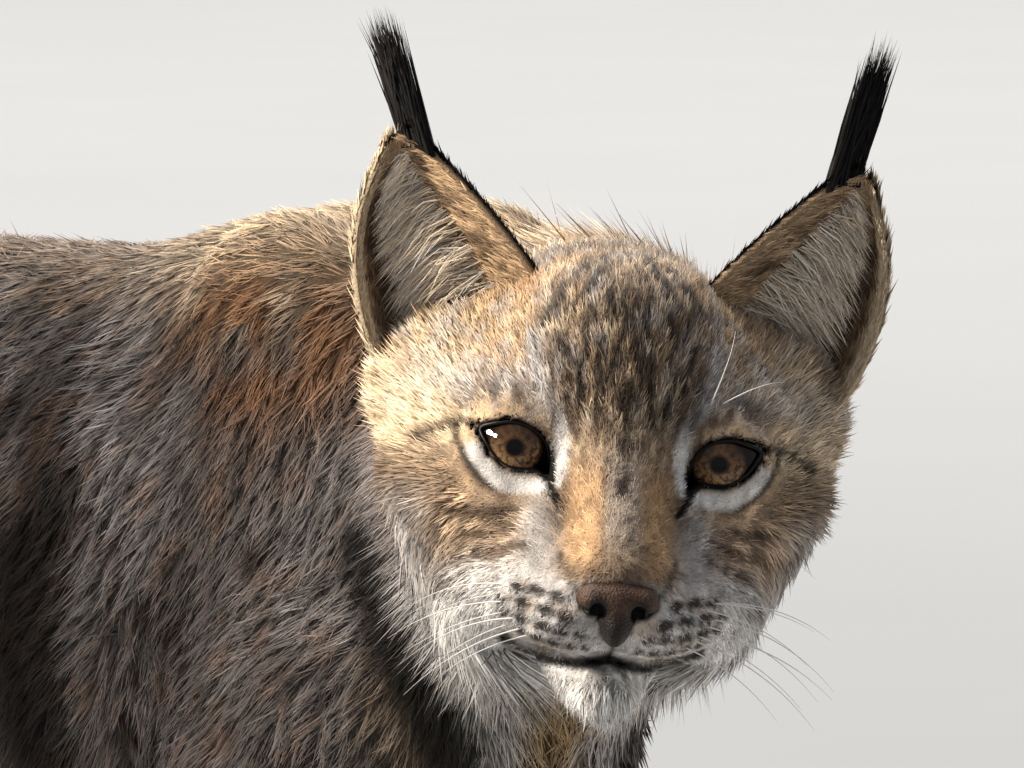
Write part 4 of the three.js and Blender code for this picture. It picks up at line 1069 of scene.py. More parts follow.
def coat(name, slot, roots, made, colours, root_shade=0.5, tip_shade=1.2, tip_paint=None, tip_share=0.0):
    """One piece of coat, or several where it has too many faces for one."""
    n = len(roots["P"])
    share = int(np.ceil(len(made["faces"]) / FACE_LIMIT))
    cuts = np.linspace(0, n, share + 1).astype(int)
    per, along = made["per"], made["along"]
    random = roots["random"]
    lightness = (1 + 0.24 * random.normal(size=(n, 1))).clip(0.4, 1.7)
    lock_tone = 1 + 0.3 * (roots.get("lock", np.full(n, 0.5)) - 0.5)
    each = colours * lightness * lock_tone[:, None]
    # Dark at the foot: partly the hair's own base, partly painted shade deep in the coat.
    shade = np.interp(along, [0, 0.45, 1], [root_shade, 1, tip_shade])[:, None]
    uneven = (1 + 0.12 * random.normal(size=(n * per, 1))).clip(0.6, 1.4)
    painted = np.repeat(each, per, axis=0) * shade * uneven
    if tip_paint is not None:
        picked = np.repeat(random.random(n) < tip_share, per) * smooth(0.4, 1, along)
        painted = lay(painted, tip_paint, picked)
    faces_each = len(made["faces"]) // n
    corner = np.stack([np.tile(np.arange(per) % 3 / 2, n), along], axis=1) - 0.5
    uv = np.repeat(roots["UV"], per, axis=0) + PATCH * corner
    pieces = []
    for i, (start, end) in enumerate(zip(cuts, cuts[1:])):
        rows = slice(start * per, end * per)
        faces = made["faces"][start * faces_each : end * faces_each] - start * per
        label = name if share == 1 else f"{name}_{i + 1}"
        thing = mesh_object(label, to_world(made["points"][rows]), faces, 3)
        store_colour(thing, painted[rows])
        layer = thing.data.uv_layers.new(name="OFBake")
        layer.data.foreach_set("uv", uv[rows][faces.ravel()].astype("f").ravel())
        thing.data.normals_split_custom_set_from_vertices(made["normals"][rows])
        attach(thing, "root")
        pieces.append(thing)
    print(name, n, "tufts in", share, "pieces,", len(made["faces"]), "faces")
    return pieces


def from_head_axes(roots, made):
    """Turns roots and tufts that were worked out on the head's axes back to the animal's."""
    roots["P"] = from_head(roots["P"])
    made["points"] = from_head(made["points"])
    made["normals"] = made["normals"] @ AXES.T


def ways(x, y, z):
    """Directions from their parts, each a number or one for each root."""
    return np.stack(np.broadcast_arrays(x, y, z), axis=1)


coats = []

# %% [markdown]
# The head's coat is a nap of two or three millimetres on the nose and grows to a beard under the
# cheeks. It parts at the nose leather and runs back over the brow, out over the cheeks and down
# into the ruff. The lids, the lips and the nose leather stay bare.

# %% Rules of the head's coat
NOSE_POINT = np.array([46.0, 0.0, -34.0])
LEFT_BEARD, RIGHT_BEARD = (19.0, 2), (26.0, 8)  # length at the cheek, and how much longer below


def bare_face(H):
    """1 where hair grows, 0 on the lids' rims, the lips and under the nose leather."""
    f, a, u = folded(H)
    open_eye = near_eye(f, a, u, -24)
    grows = np.ones(len(H))
    grows[open_eye] = lid_distance(a[open_eye], u[open_eye]) > 1.2
    grows *= ~((distance_to_line(a, u, lip_curve) < 0.9) & (f > -22))
    under_pad = (f > 36) & (a < 16) & (u > -62)
    grows[under_pad] *= leather_cushion(H[under_pad]) > 0.4
    return grows


def head_length(H):
    f, a, u = folded(H)
    long = 4.6 + 4.2 * smooth(-26, -70, f) + 2.4 * smooth(30, 56, a)
    long = mix(long, 9.0, smooth(38, 56, a) * smooth(6, -14, u))
    long = mix(long, 7.0, smooth(-58, -66, u) * smooth(8, 0, a - 26))
    long = mix(long, 8.0, smooth(-68, -76, u) * smooth(14, 6, a) * (f > 6))
    long = mix(long, 13.0, smooth(12, 4, np.abs(u - 34 + 1.12 * (a - 16))) * (a > 14) * smooth(-28, -38, f))
    below = smooth(-30, -55, u)
    left, right = (at_cheek + more * below for at_cheek, more in (LEFT_BEARD, RIGHT_BEARD))
    long = mix(long, np.where(H[:, 1] > 0, left, right), ruff_share(H))
    muzzle = np.sqrt((f - 34) ** 2 + (a - 12) ** 2 + (u + 46) ** 2)
    long = mix(2.4, long, smooth(14, 36, muzzle))
    long = mix(1.9, long, smooth(12, 30, np.hypot(a - EYE_ASIDE - 2, 1.2 * (u + 2))))
    at_mouth = (a < 44) & (u < -46) & (f > -24)
    lips = np.full(len(H), FAR)
    lips[at_mouth] = distance_to_line(a[at_mouth], u[at_mouth], lip_curve)
    long = mix(1.6, long, smooth(1.5, 6.5, lips))
    return mix(long, 3.0, smooth(20, 10, a) * smooth(-14, 0, f) * smooth(26, -10, u) * smooth(-60, -50, u))


def head_lie(H):
    """Away from the nose over brow and cheeks, down in the ruff, and to a point under the chin."""
    away = unit(H - NOSE_POINT)
    side = np.sign(H[:, 1])
    a, u = np.abs(H[:, 1]), H[:, 2]
    under = smooth(8, -40, u) * smooth(20, 50, a)
    down = ways(-0.5, -0.3 * side, -1) + swirl(H, 16.0, 0.3, 68)
    lie = mix(away, down, (0.65 * under)[:, None])
    lie = mix(lie, down, ruff_share(H)[:, None])
    chin_part = smooth(-60, -70, u) * smooth(36, 26, a)
    down_to_point = ways(-0.3, -0.03 * H[:, 1], -1) + swirl(H, 7.0, 0.45, 69)
    return mix(lie, down_to_point, chin_part[:, None])


# %% [markdown]
# Bare skin would gleam between the hairs, so the skin under them wears the coat's colour made dark
# as painted shade under the coat, and nearly the full colour where the hair is shortest.

# %% The skin's paint
skin_points = np.empty(len(skin.data.vertices) * 3, "f")
skin.data.vertices.foreach_get("co", skin_points)
skin_points = skin_points.reshape(-1, 3) / MM - ORIGIN
skin_in_head = to_head(skin_points)
near_head = (skin_in_head[:, 0] > -90) & (np.linalg.norm(skin_in_head, axis=1) < 150)
# Painted shade under the coat: the skin takes the coat's colour made dark, less so where the hair is
# shortest.
shade_under_hair = np.full(len(skin_points), 0.35)
shade_under_hair[near_head] = mix(0.95, 0.35, smooth(2.2, 6.0, head_length(skin_in_head[near_head])))
store_colour(skin, shade_under_hair[:, None] * coat_paint(skin_points))
print("painted", len(skin_points), "points of the skin")

# %% [markdown]
# Two coats cover the head: a dense nap on the face, and longer, broader tufts on cheeks, crown and
# ruff. They overlap in a band, so that no edge shows between them. Black hairs end the ruff.

# %% The head's coat
face_ground = {"P": to_head(head_ground["P"]), "N": head_ground["N"] @ AXES, "UV": head_ground["UV"]}


def head_coat(name, seed, spacing, keep, wide, rings, lift, bend, lock, **finish):
    roots = sow(face_ground, seed, spacing, keep)
    H = roots["P"]
    long = head_length(H)
    to_lock, roots["lock"] = gather(H, lock, seed + 50)
    lie = unit(head_lie(H)) + 0.7 * to_lock / long[:, None]
    made = tufts(roots, lie, long, wide(H, long), lift, bend, 0, 0.14, rings)
    colours = coat_paint(from_head(H))
    from_head_axes(roots, made)
    return coat(name, "coat_head", roots, made, colours, **finish)


def on_face(H):
    return bare_face(H) * (head_length(H) < 12.5) * (H[:, 0] > -70)


def behind_face(H):
    return bare_face(H) * ((head_length(H) >= 10.5) | (H[:, 0] < -62)) * (H[:, 0] > -106)


def at_ruff_edge(H):
    f, a, u = folded(H)
    return (f < -64) * (f > -100) * (a > 32) * (u < -8) * (u > -74)


def ruff_edge_coat():
    """Black hairs at the ruff's hind edge, longer than the pale ones before them."""
    roots = sow(face_ground, 103, 1.25, at_ruff_edge)
    H = roots["P"]
    side = np.sign(H[:, 1])
    lie = ways(-0.2, -0.2 * side, -1) + swirl(H, 12.0, 0.4, 64)
    made = tufts(roots, lie, np.where(side > 0, 22.0, 30.0), 0.8, 22, 0.7, 0, 0.12, 2)
    brown = roots["random"].random(len(H)) < 0.25
    tone = lay(all_of(BLACK, len(H)), UMBER, 0.6 * brown)
    from_head_axes(roots, made)
    return coat("ruff_edge", "coat_head", roots, made, tone, root_shade=0.8)


coats += head_coat(
    "nap_of_face", 101, lambda H: 0.185 * head_length(H) ** 0.5 + 0.3, on_face,
    lambda H, long: 0.45 + 0.045 * long, 1, 27, 0.6, 3.4, root_shade=0.42, tip_shade=1.25,
)
coats += head_coat(
    "cheeks_and_crown", 102, lambda H: 1.29 - 0.008 * head_length(H), behind_face,
    lambda H, long: 0.82 - 0.004 * long, 2, 18, 0.8, 9.0, root_shade=0.4, tip_shade=1.2,
)
coats += ruff_edge_coat()

# %% [markdown]
# The body's coat is about a centimetre long on the shoulder and the back, three on the flank, four
# on the belly and behind the thigh, and half a centimetre on the paws. It lies back and down, and a
# slow noise turns it a little from place to place, so the hairs gather into the locks of a living
# coat. The side that is seen closest is sown more finely than the rest.

# %% Rules of the body's coat
def body_length(P):
    x, y, z = P.T
    long = mix(11.5, 10.0, smooth(580, 630, z))
    long = mix(long, 8.0, smooth(60, 100, x) * smooth(550, 590, z))
    long = mix(long, 28.0, smooth(-120, -300, x) * smooth(640, 600, z))
    long = mix(long, 42.0, smooth(430, 385, z) * smooth(80, 20, x))
    long = mix(long, 38.0, smooth(-440, -500, x))
    long = mix(long, 26.0, smooth(60, 120, x) * smooth(480, 520, z))
    long = mix(long, 15.0, smooth(390, 300, z))
    long = mix(long, 5.5, smooth(130, 50, z))
    return mix(long, 24.0, tail_share(P))


def body_lie(P):
    """Back along the spine, down the shoulder, breast and legs, forward over the toes."""
    x, y, z = P.T
    lie = ways(-1, 0, -0.2 - 0.8 * smooth(620, 500, z))
    shoulder = 0.95 * smooth(-300, -160, x) * smooth(120, 60, x) * smooth(636, 590, z)
    turns = [
        ((-0.22, 0.0, -1.0), shoulder),
        ((-0.15, 0.0, -1.0), smooth(66, 120, x) * smooth(560, 480, z)),
        ((-0.5, 0.0, -0.9), smooth(-340, -420, x) * smooth(600, 520, z)),
        ((-0.22, 0.0, -1.0), smooth(400, 320, z)),
        ((0.8, 0.0, -0.45), smooth(70, 40, z)),
    ]
    for way, share in turns:
        lie = mix(lie, np.array(way), share[:, None])
    drop = smooth(584, 490, z)
    along_tail = ways(mix(-0.88, -0.15, drop), 0, mix(-0.48, -1.0, drop))
    return mix(lie, along_tail, tail_share(P)[:, None])


def behind_the_head(P):
    """1 on the body, 0 where its skin runs on inside the head."""
    return smooth(-76, -88, to_head(P)[:, 0])


def seen_closely(P):
    """1 on the animal's right side from the shoulder to the loin, and over its ridge."""
    x, y, z = P.T
    over_ridge = 60 * smooth(560, 600, z)
    return smooth(30, -10, y - over_ridge) * smooth(-290, -230, x) * smooth(360, 400, z)


# %% [markdown]
# Where the back turns away from the eye, steep tufts would bristle against the sky, so the lift is
# halved there. On the soles nothing reaches below the floor.

# %% The body's coat
CLEARANCE = 0.4


def body_coat(name, slot, seed, spacing, keep, wide, rings=1, lift=28, bend=0.6, lock=10.0, **finish):
    def grows(P):
        return keep(P) * behind_the_head(P) * (P[:, 2] > 3.5)

    roots = sow(body_ground, seed, spacing, grows)
    P = roots["P"]
    long = body_length(P)
    to_lock, roots["lock"] = gather(P, lock, seed + 50)
    lie = unit(body_lie(P)) + swirl(P, 36.0, 0.45, seed + 5) + 1.1 * to_lock / long[:, None]
    rise = mix(lift, 0.45 * lift, smooth(570, 615, P[:, 2]))
    made = tufts(roots, lie, long, wide, rise, bend, 0.12, 0.12, rings)
    made["points"][:, 2] = np.maximum(made["points"][:, 2], CLEARANCE)
    return coat(name, slot, roots, made, coat_paint(P), **finish)


def on_tail(P):
    return (P[:, 0] < -548) * (P[:, 2] > 380)


def on_shoulder_side(P):
    return (P[:, 2] >= 350) * ~on_tail(P) * (seen_closely(P) > 0.5)


def on_rest_of_trunk(P):
    return (P[:, 2] >= 350) * ~on_tail(P) * (seen_closely(P) <= 0.5)


def on_legs(P):
    return (P[:, 2] < 350) * (P[:, 2] >= 62)


def on_paws(P):
    return P[:, 2] < 62


coats += body_coat(
    "coat_of_shoulder", "coat_body", 201, 1.42, on_shoulder_side, 0.9, lift=34, bend=0.5, lock=8.0,
    root_shade=0.25, tip_shade=1.3, tip_paint=SOOT, tip_share=0.1,
)
coats += body_coat(
    "coat_of_body", "coat_body", 202, 2.7, on_rest_of_trunk, 1.8, lock=16.0,
    root_shade=0.35, tip_shade=1.25, tip_paint=SOOT, tip_share=0.08,
)
coats += body_coat(
    "coat_of_legs", "coat_legs", 203, 3.0, on_legs, 1.95, lift=22, lock=8.0,
    root_shade=0.45, tip_shade=1.2,
)
coats += body_coat(
    "coat_of_paws", "coat_paws", 204, 2.2, on_paws, 1.35, lift=20, lock=6.0,
    root_shade=0.5, tip_shade=1.2,
)
coats += body_coat(
    "coat_of_tail", "coat_tail", 205, 2.7, on_tail, 2.0, rings=2, root_shade=0.4, tip_shade=1.3,
)

# %% [markdown]
# An ear is a leaf of gristle, curled into a cup between an inner and an outer edge. It could be cut
# from a cone, but the cup deepens towards its foot. So a flat grid is laid between the two edges,
# sunk towards the back where the cup is deep, and given its thickness with Solidify.

# %% Ears
EAR_INNER = [[-46, 16, 34], [-40, 28, 54], [-42, 45, 73], [-46, 61, 88], [-48, 70, 94]]
EAR_OUTER = [[-66, 50, -4], [-55, 73, 24], [-53, 82, 47], [-53, 83, 69], [-50, 77, 91]]
EAR_BACK = np.array([-0.94, 0.16, -0.1])
EAR_BACK /= np.linalg.norm(EAR_BACK)
EAR_DEPTH, EAR_WALL = 27.0, 2.4
EAR_ROWS, EAR_COLUMNS = 30, 22
SIDES = {"left": 1, "right": -1}


def on_curve(stops, t):
    points = curve(stops, 12)
    place = np.linspace(0, 1, len(points))
    return np.stack([np.interp(t, place, points[:, i]) for i in range(3)], axis=-1)


def ear_point(s, height, across):
    """A point of the cup: how high up the ear, and how far from the inner to the outer edge."""
    bow = 4 * across * (1 - across)
    deep = EAR_DEPTH * np.clip(1 - height, 0, 1) ** 0.75 * np.clip(bow, 0, 1) + 1.5 * bow
    flat = mix(on_curve(EAR_INNER, height), on_curve(EAR_OUTER, height), across[..., None])
    return (flat + deep[..., None] * EAR_BACK) * [1, s, 1]


def ear_ground(height, across):
    place = np.stack([60 * across, 90 * height, 0 * height], axis=1)
    brown = 0.75 * flecked(place, 2.6, 77, 0.35, 0.65) * smooth(0.0, 0.1, across)
    return lay(all_of(TAN, len(height)), UMBER, brown)


def ear_front_paint(height, across):
    """Brown inner border, painted shade over the outer cup, black painted shade in the pocket at its foot,
    and cream outer rim.
    """
    # The darker brown over the outer cup and the black at the foot of the cup are painted shade of the
    # hollow.
    dark = smooth(0.5, 0.66, across) * smooth(0.94, 0.84, across) * smooth(0.92, 0.7, height)
    pocket_shade = smooth(0.18, 0.28, across) * smooth(0.9, 0.75, across) * smooth(0.34, 0.18, height)
    return layered(ear_ground(height, across), [
        (CREAM, 0.7 * smooth(0.18, 0.3, across) * smooth(0.66, 0.5, across)),
        (UMBER, 0.75 * dark),
        (BLACK, pocket_shade),
        (CREAM, smooth(0.9, 0.96, across)),
        (TAN, 0.9 * smooth(0.86, 0.96, height)),
    ])


def ear_back_paint(height, across):
    """A black edge and a black tip round a grey patch."""
    edge = np.minimum(across, 1 - across)
    tip = smooth(0.8, 0.95, height) * smooth(0.6, 0.4, across)
    return layered(ear_ground(height, across), [
        (PALE_GREY, smooth(0.12, 0.3, edge) * smooth(0.9, 0.6, height)),
        (CREAM, smooth(0.8, 0.9, across)),
        (BLACK, smooth(0.2, 0.08, across) * smooth(0.15, 0.4, height) + tip),
    ])


def place_points(thing, places):
    for vertex, place in zip(thing.data.vertices, places):
        vertex.co = place


def make_ear(side, s):
    bpy.ops.object.select_all(action="DESELECT")
    bpy.ops.mesh.primitive_grid_add(x_subdivisions=EAR_COLUMNS, y_subdivisions=EAR_ROWS, size=1)
    ear = bpy.context.object
    ear.name = ear.data.name = f"ear_shell_{side}"
    across, height = np.array([v.co[:2] for v in ear.data.vertices]).T + 0.5
    place_points(ear, to_world(from_head(ear_point(s, height, across))))
    # The shell under the nap wears the front's paint made darker, as painted shade under the hair.
    store_colour(ear, 0.6 * ear_front_paint(height, across))
    bpy.ops.object.mode_set(mode="EDIT")
    bpy.ops.mesh.select_all(action="SELECT")
    if s < 0:
        bpy.ops.mesh.flip_normals()
    bpy.ops.object.mode_set(mode="OBJECT")
    bpy.ops.object.shade_smooth()
    solid = ear.modifiers.new("wall", "SOLIDIFY")
    solid.thickness, solid.offset = EAR_WALL * MM, -1
    bpy.ops.object.modifier_apply(modifier="wall")
    print(ear.name, "has", len(ear.data.polygons), "faces")
    return ear


ears = {side: make_ear(side, s) for side, s in SIDES.items()}

# %% [markdown]
# The ear's hair comes in four kinds: a short nap on both faces, a fringe on each rim, long soft hair
# that grows from the inner border and sweeps out across the cup, and the black tuft on the tip.
# Each kind is rooted at chosen heights on the leaf.

# %% The hair of the ears
NEARBY = 0.03  # the step over the leaf from which its directions are measured


def rooted(places, normals, uv, seed):
    return {"P": places, "N": unit(normals), "UV": uv, "random": np.random.default_rng(seed)}


def ear_roots(s, heights, across, uv_corner, seed):
    """Roots at chosen places of the cup, with the cup's own normal."""
    P = ear_point(s, heights, across)
    below, above = (np.clip(heights + step, 0, 1) for step in (-NEARBY, NEARBY))
    inward, outward = (np.clip(across + step, 0, 1) for step in (-NEARBY, NEARBY))
    up = ear_point(s, above, across) - ear_point(s, below, across)
    out = ear_point(s, heights, outward) - ear_point(s, heights, inward)
    N = unit(np.cross(out, up)) * s
    uv = np.stack([0.5 * across, 0.5 * heights], axis=1) + uv_corner
    return rooted(P, N, uv, seed), unit(up), unit(out)


def ear_coat(name, roots, made, colours, **finish):
    from_head_axes(roots, made)
    return coat(name, "coat_ears", roots, made, colours, **finish)


def sown(s, count, low, high, inner, outer, uv_corner, seed):
    """Roots spread over a stretch of the cup, with the directions up and out at each."""
    random = np.random.default_rng(seed)
    height, across = random.uniform(low, high, count), random.uniform(inner, outer, count)
    roots, up, out = ear_roots(s, height, across, uv_corner, seed)
    return roots, up, out, height, across


def ear_nap(side, s):
    """A short nap on the front of the leaf and on its back."""
    roots, up, out, h, a = sown(s, 8000, 0, 1, 0, 1, [0.5, 0], 311 + s)
    wide = 0.6 + 0.3 * smooth(0.24, 0.1, a)
    nap = tufts(roots, up + 0.35 * out, 3.4 + 1.4 * h, wide, 24, 0.6, 0, 0.25, 1, 0.3)
    pieces = ear_coat(f"ear_nap_front_{side}", roots, nap, ear_front_paint(h, a), root_shade=0.6)
    roots, up, out, h, a = sown(s, 4400, 0, 1, 0, 1, [0, 0.5], 321 + s)
    roots["P"] = roots["P"] - EAR_WALL * roots["N"]
    roots["N"] = -roots["N"]
    nap = tufts(roots, up, 6.5, 0.95, 18, 0.7, 0, 0.2, 1, 0.3)
    return pieces + ear_coat(f"ear_nap_back_{side}", roots, nap, ear_back_paint(h, a), root_shade=0.6)


def ear_fringe(side, s):
    """Cream hair along the outer rim, black along the inner one."""
    roots, up, out, h, a = sown(s, 3000, 0, 0.98, 0.95, 1.0, [0.5, 0.5], 331 + s)
    fringe = tufts(roots, up + 0.35 * out, 4.4, 0.7, 18, 0.5, 0, 0.25, 1, 0.5)
    tone = all_of(CREAM, len(h))
    pieces = ear_coat(f"ear_rim_outer_{side}", roots, fringe, tone, root_shade=1.0, tip_shade=1.35)
    roots, up, out, h, a = sown(s, 700, 0.05, 0.94, 0.0, 0.02, [0.5, 0.5], 341 + s)
    in_wall = EAR_WALL * roots["random"].uniform(0.8, 1.1, len(h))
    roots["P"] = roots["P"] - in_wall[:, None] * roots["N"]
    fringe = tufts(roots, up - 0.5 * out, 4.0, 0.6, 10, 0.6, 0, 0.3, 1, 0.4)
    return pieces + ear_coat(f"ear_rim_inner_{side}", roots, fringe, all_of(BLACK, len(h)), root_shade=0.9)


def ear_fan(side, s):
    """Long soft hair that sweeps out from the inner border and hangs over at its tips."""
    roots, up, out, h, a = sown(s, 2600, 0.2, 0.93, 0.14, 0.5, [0.5, 0.0], 351 + s)
    width = np.linalg.norm(on_curve(EAR_OUTER, h) - on_curve(EAR_INNER, h), axis=1)
    to_lock, roots["lock"] = gather(roots["P"], 6.0, 361 + s)
    long = 0.4 * width * (1.2 - a)
    lie = out + 0.35 * up + 1.6 * to_lock / long[:, None] + swirl(roots["P"], 8.0, 0.5, 81)
    fan = tufts(roots, lie, long, 0.46, 30, 0.0, 1.6, 0.2, 2, 0.5, 0.35)
    random = roots["random"]
    pale = lay(all_of(CREAM, len(h)), WHITE, 0.9 * random.random(len(h)))
    pale = lay(pale, GREY_BROWN, 0.7 * (random.random(len(h)) < 0.16))
    return ear_coat(f"ear_fan_{side}", roots, fan, pale, root_shade=0.85, tip_shade=1.6)


# %% [markdown]
# The tuft on the tip is a dense black brush. Its foot is broad, along the tip and down the inner
# edge, and its hairs are drawn together into four strands that end raggedly.

# %% The tufts on the ears
TUFT_HAIRS = 800
TUFT_AXIS = {"left": [-0.12, 0.11, 1.0], "right": [-0.12, -0.24, 1.0]}
TUFT_LENGTH = {"left": 47.0, "right": 43.0}
TUFT_FOOT = [(0.8, 0.0), (0.93, 0.02), (1.0, 0.5)]  # places on the leaf, as height and across
STRANDS = np.array([-3.0, -0.8, 1.4, 3.6])


def ear_tuft(side, s):
    n = TUFT_HAIRS
    random = np.random.default_rng(361 + s)
    axis = unit(np.array([TUFT_AXIS[side]]))[0]
    foot = np.array([ear_point(s, np.array([h]), np.array([a]))[0] for h, a in TUFT_FOOT])
    t = random.random(n)
    P = np.stack([np.interp(t, [0, 0.55, 1], foot[:, i]) for i in range(3)], axis=1)
    inward = unit((foot[1] - foot[2])[None])[0]
    thick = unit(np.cross(axis, inward)[None])[0]
    depth = random.normal(size=n)
    front = ear_roots(s, np.array([0.9]), np.array([0.1]), [0, 0], 0)[0]["N"]
    P = P + thick * (1.2 * depth)[:, None] - 2.2 * front - 2.0 * axis
    strand = STRANDS[np.floor(4 * random.random(n)).astype(int)]
    tip = foot[2] + TUFT_LENGTH[side] * axis + inward * (strand + 1.2 * random.normal(size=n))[:, None]
    way = tip + thick * (1.0 * random.normal(size=n))[:, None] - P
    long = np.linalg.norm(way, axis=1) * (1 - 0.66 * random.random(n))
    way = unit(way)
    around = thick * depth[:, None] + inward * (0.5 - t)[:, None]
    around -= way * (around * way).sum(1, keepdims=True)
    roots = rooted(P, around, np.stack([0.7 + 0.1 * t, 0.9 + 0.02 * depth], axis=1), 371 + s)
    hairs = tufts(roots, way, long, 0.85, 3, 0.9, 0, 0.04, 2, 0.2, 0.05)
    tone = lay(all_of(BLACK, n), UMBER, 0.5 * (random.random(n) < 0.08))
    return ear_coat(f"ear_tuft_{side}", roots, hairs, tone, root_shade=1.0, tip_shade=1.0)


for side, s in SIDES.items():
    for grow in (ear_nap, ear_fringe, ear_fan, ear_tuft):
        coats += grow(side, s)

# %% [markdown]
# An eyeball could be a plain sphere, but the clear front of a real one stands out as a second,
# smaller dome, and that dome catches the light. The sphere's pole is turned to the gaze and its cap
# is drawn outward. Each point keeps its place in the plane of the iris, for the paint.

# %% Eyes
CAMERA_BACK = np.array([0.763, -0.640, 0.087])
CAMERA_BACK /= np.linalg.norm(CAMERA_BACK)
IRIS_RADIUS, PUPIL_RADIUS = 9.0, 2.35
BULGE = 1.1


def make_eye(side, s):
    bpy.ops.object.select_all(action="DESELECT")
    bpy.ops.mesh.primitive_uv_sphere_add(segments=64, ring_count=48, radius=1)
    eye = bpy.context.object
    eye.name = eye.data.name = f"eyeball_{side}"
    bpy.ops.object.shade_smooth()
    axes = np.array(Vector(CAMERA_BACK).to_track_quat("Z", "Y").to_matrix())
    unit_points = np.array([v.co[:] for v in eye.data.vertices])
    off_axis = np.degrees(np.arccos(np.clip(unit_points[:, 2], -1, 1)))
    radius = EYE_RADIUS + BULGE * smooth(37, 12, off_axis)
    middle = from_head(np.array([EYE_DEPTH, s * EYE_ASIDE, 0.0]))
    placed = to_world(middle + (unit_points * radius[:, None]) @ axes.T)
    place_points(eye, placed)
    layer = eye.data.attributes.new("iris", "FLOAT_VECTOR", "POINT")
    layer.data.foreach_set("vector", (unit_points * EYE_RADIUS).astype("f").ravel())
    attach(eye, "root")
    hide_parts(f"eye_{side}")
    return eye


eyes = [make_eye(side, s) for side, s in SIDES.items()]
print("eyeballs", 2 * EYE_RADIUS, "mm across with an iris of", 2 * IRIS_RADIUS)

# %% [markdown]
# The lids end in a thick, wet, black rim that lies on the eyeball. It is a closed curve with a round
# bevel, thicker at both corners, turned into a mesh. The whiskers will be made the same way, as open
# curves that taper to a point.

# %% Rims of the lids
def tube(name, points, radii, closed=False, sides=8):
    """A round mesh along points of the animal, as thick as the radii say."""
    line = bpy.data.curves.new(name, "CURVE")
    line.dimensions = "3D"
    line.bevel_depth = MM
    line.bevel_resolution = sides // 4
    line.use_fill_caps = not closed
    spline = line.splines.new("POLY")
    spline.points.add(len(points) - 1)
    for stop, place, radius in zip(spline.points, to_world(points), radii):
        stop.co = (*place, 1)
        stop.radius = radius
    spline.use_cyclic_u = closed
    thing = bpy.data.objects.new(name, line)
    bpy.context.scene.collection.objects.link(thing)
    only(thing)
    bpy.ops.object.convert(target="MESH")
    thing = bpy.context.object
    bpy.ops.object.shade_smooth()
    return thing


def make_rim(side, s):
    a, u = lid_curve.T
    R = EYE_RADIUS + 0.6
    f = EYE_DEPTH + np.sqrt(np.maximum(R**2 - (a - EYE_ASIDE) ** 2 - u**2, 12.0))
    corner = smooth(9, 2, np.hypot(a - 22.0, u + 8.5)) + smooth(9, 2, np.hypot(a - 43.0, u - 4.5))
    thick = 0.42 + 0.1 * smooth(0, 6, u) + 0.2 * corner
    return tube(f"lid_rim_{side}", from_head(np.stack([f, s * a, u], axis=1)), thick, closed=True)


rims = [make_rim(side, s) for side, s in SIDES.items()]
for rim in rims:
    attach(rim, "root")
print("rims of", len(lid_curve), "stops each")

# %% [markdown]
# The nose leather is one soft cushion with a wing on each side and a nostril curling into each wing.
# It is drawn as distances like the skin, since every edge of it is rounded, and the nostrils are
# taken out with a soft edge.

# %% Nose leather
def pipe(stops, radius):
    """Distance to a round channel along straight runs between stops."""
    runs = list(zip(np.array(stops, "f"), np.array(stops, "f")[1:]))

    def distance(H):
        best = np.full(len(H), FAR, "f")
        for a, b in runs:
            t = np.clip((H - a) @ (b - a) / ((b - a) @ (b - a)), 0, 1)
            best = np.minimum(best, np.linalg.norm(H - a - t[:, None] * (b - a), axis=1))
        return best - radius

    return distance


nostrils = egg_pair([55, 6.3, -48.4], [8, 2.3, 2.7])
slits = both(lambda s: pipe([(55, s * 6.6, -49.0), (53.0, s * 9.6, -48.6), (47, s * 13.0, -47.2)], 1.3))
groove = pipe([(60, 0, -50), (57.5, 0, -54), (52, 0, -60)], 0.6)
channels = [*nostrils, *slits, groove]
NOSE_BOX = (36, -15, -62), (62, 15, -36)
NOSE_STEP = 0.55


def nose_form(H):
    H = np.asarray(H, "f")
    d = leather_cushion(H)
    for channel in channels:
        d = cut(1.2, d, channel(H))
    return d


nose_points, nose_quads = surface(nose_form, *NOSE_BOX, NOSE_STEP)
nose = mesh_object("nose_leather", to_world(from_head(nose_points)), nose_quads, 4)
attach(nose, "root")
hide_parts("nose")
# Painted shade: the leather is darkened deep in the nostrils and channels and over its lower half, which
# faces down.
deep = np.min([channel(nose_points) for channel in channels], axis=0)
low = smooth(-46, -53, nose_points[:, 2])
dark = np.maximum(smooth(2.4, 0.2, deep), 0.85 * low)
store_colour(nose, np.repeat(dark[:, None], 3, axis=1), "dark")
print("nose leather has", len(nose_quads), "faces")

# %% [markdown]
# Whiskers are stiff white hairs, here about five centimetres long. They grow from the larger dots of
# the pads, stand out to the side and a little back, and sag under their own weight. Two more stand
# over each eye.

# %% Whiskers
WHISKER_REACH = -176.0
HAIRS_OVER_EYE = [((0.35, 0.25, 0.8), 38), ((0.4, 0.7, 0.5), 30)]


def whisker(name, root, out, long, sag, thick=0.3, count=14):
    """A stiff hair; one that would stand out further than the cheek allows is shortened."""
    t = np.linspace(0, 1, count)[:, None]
    out = np.asarray(out, float) / np.linalg.norm(out)
    bow = np.array([-0.4, -0.12 * np.sign(out[1]), -sag])
    path = from_head(np.asarray(root) + long * (out * t + bow * t**2))
    while path[:, 1].min() < WHISKER_REACH:
        long *= 0.96
        path = from_head(np.asarray(root) + long * (out * t + bow * t**2))
    return tube(name, path, thick * (1 - t[:, 0]) + 0.04, sides=4)


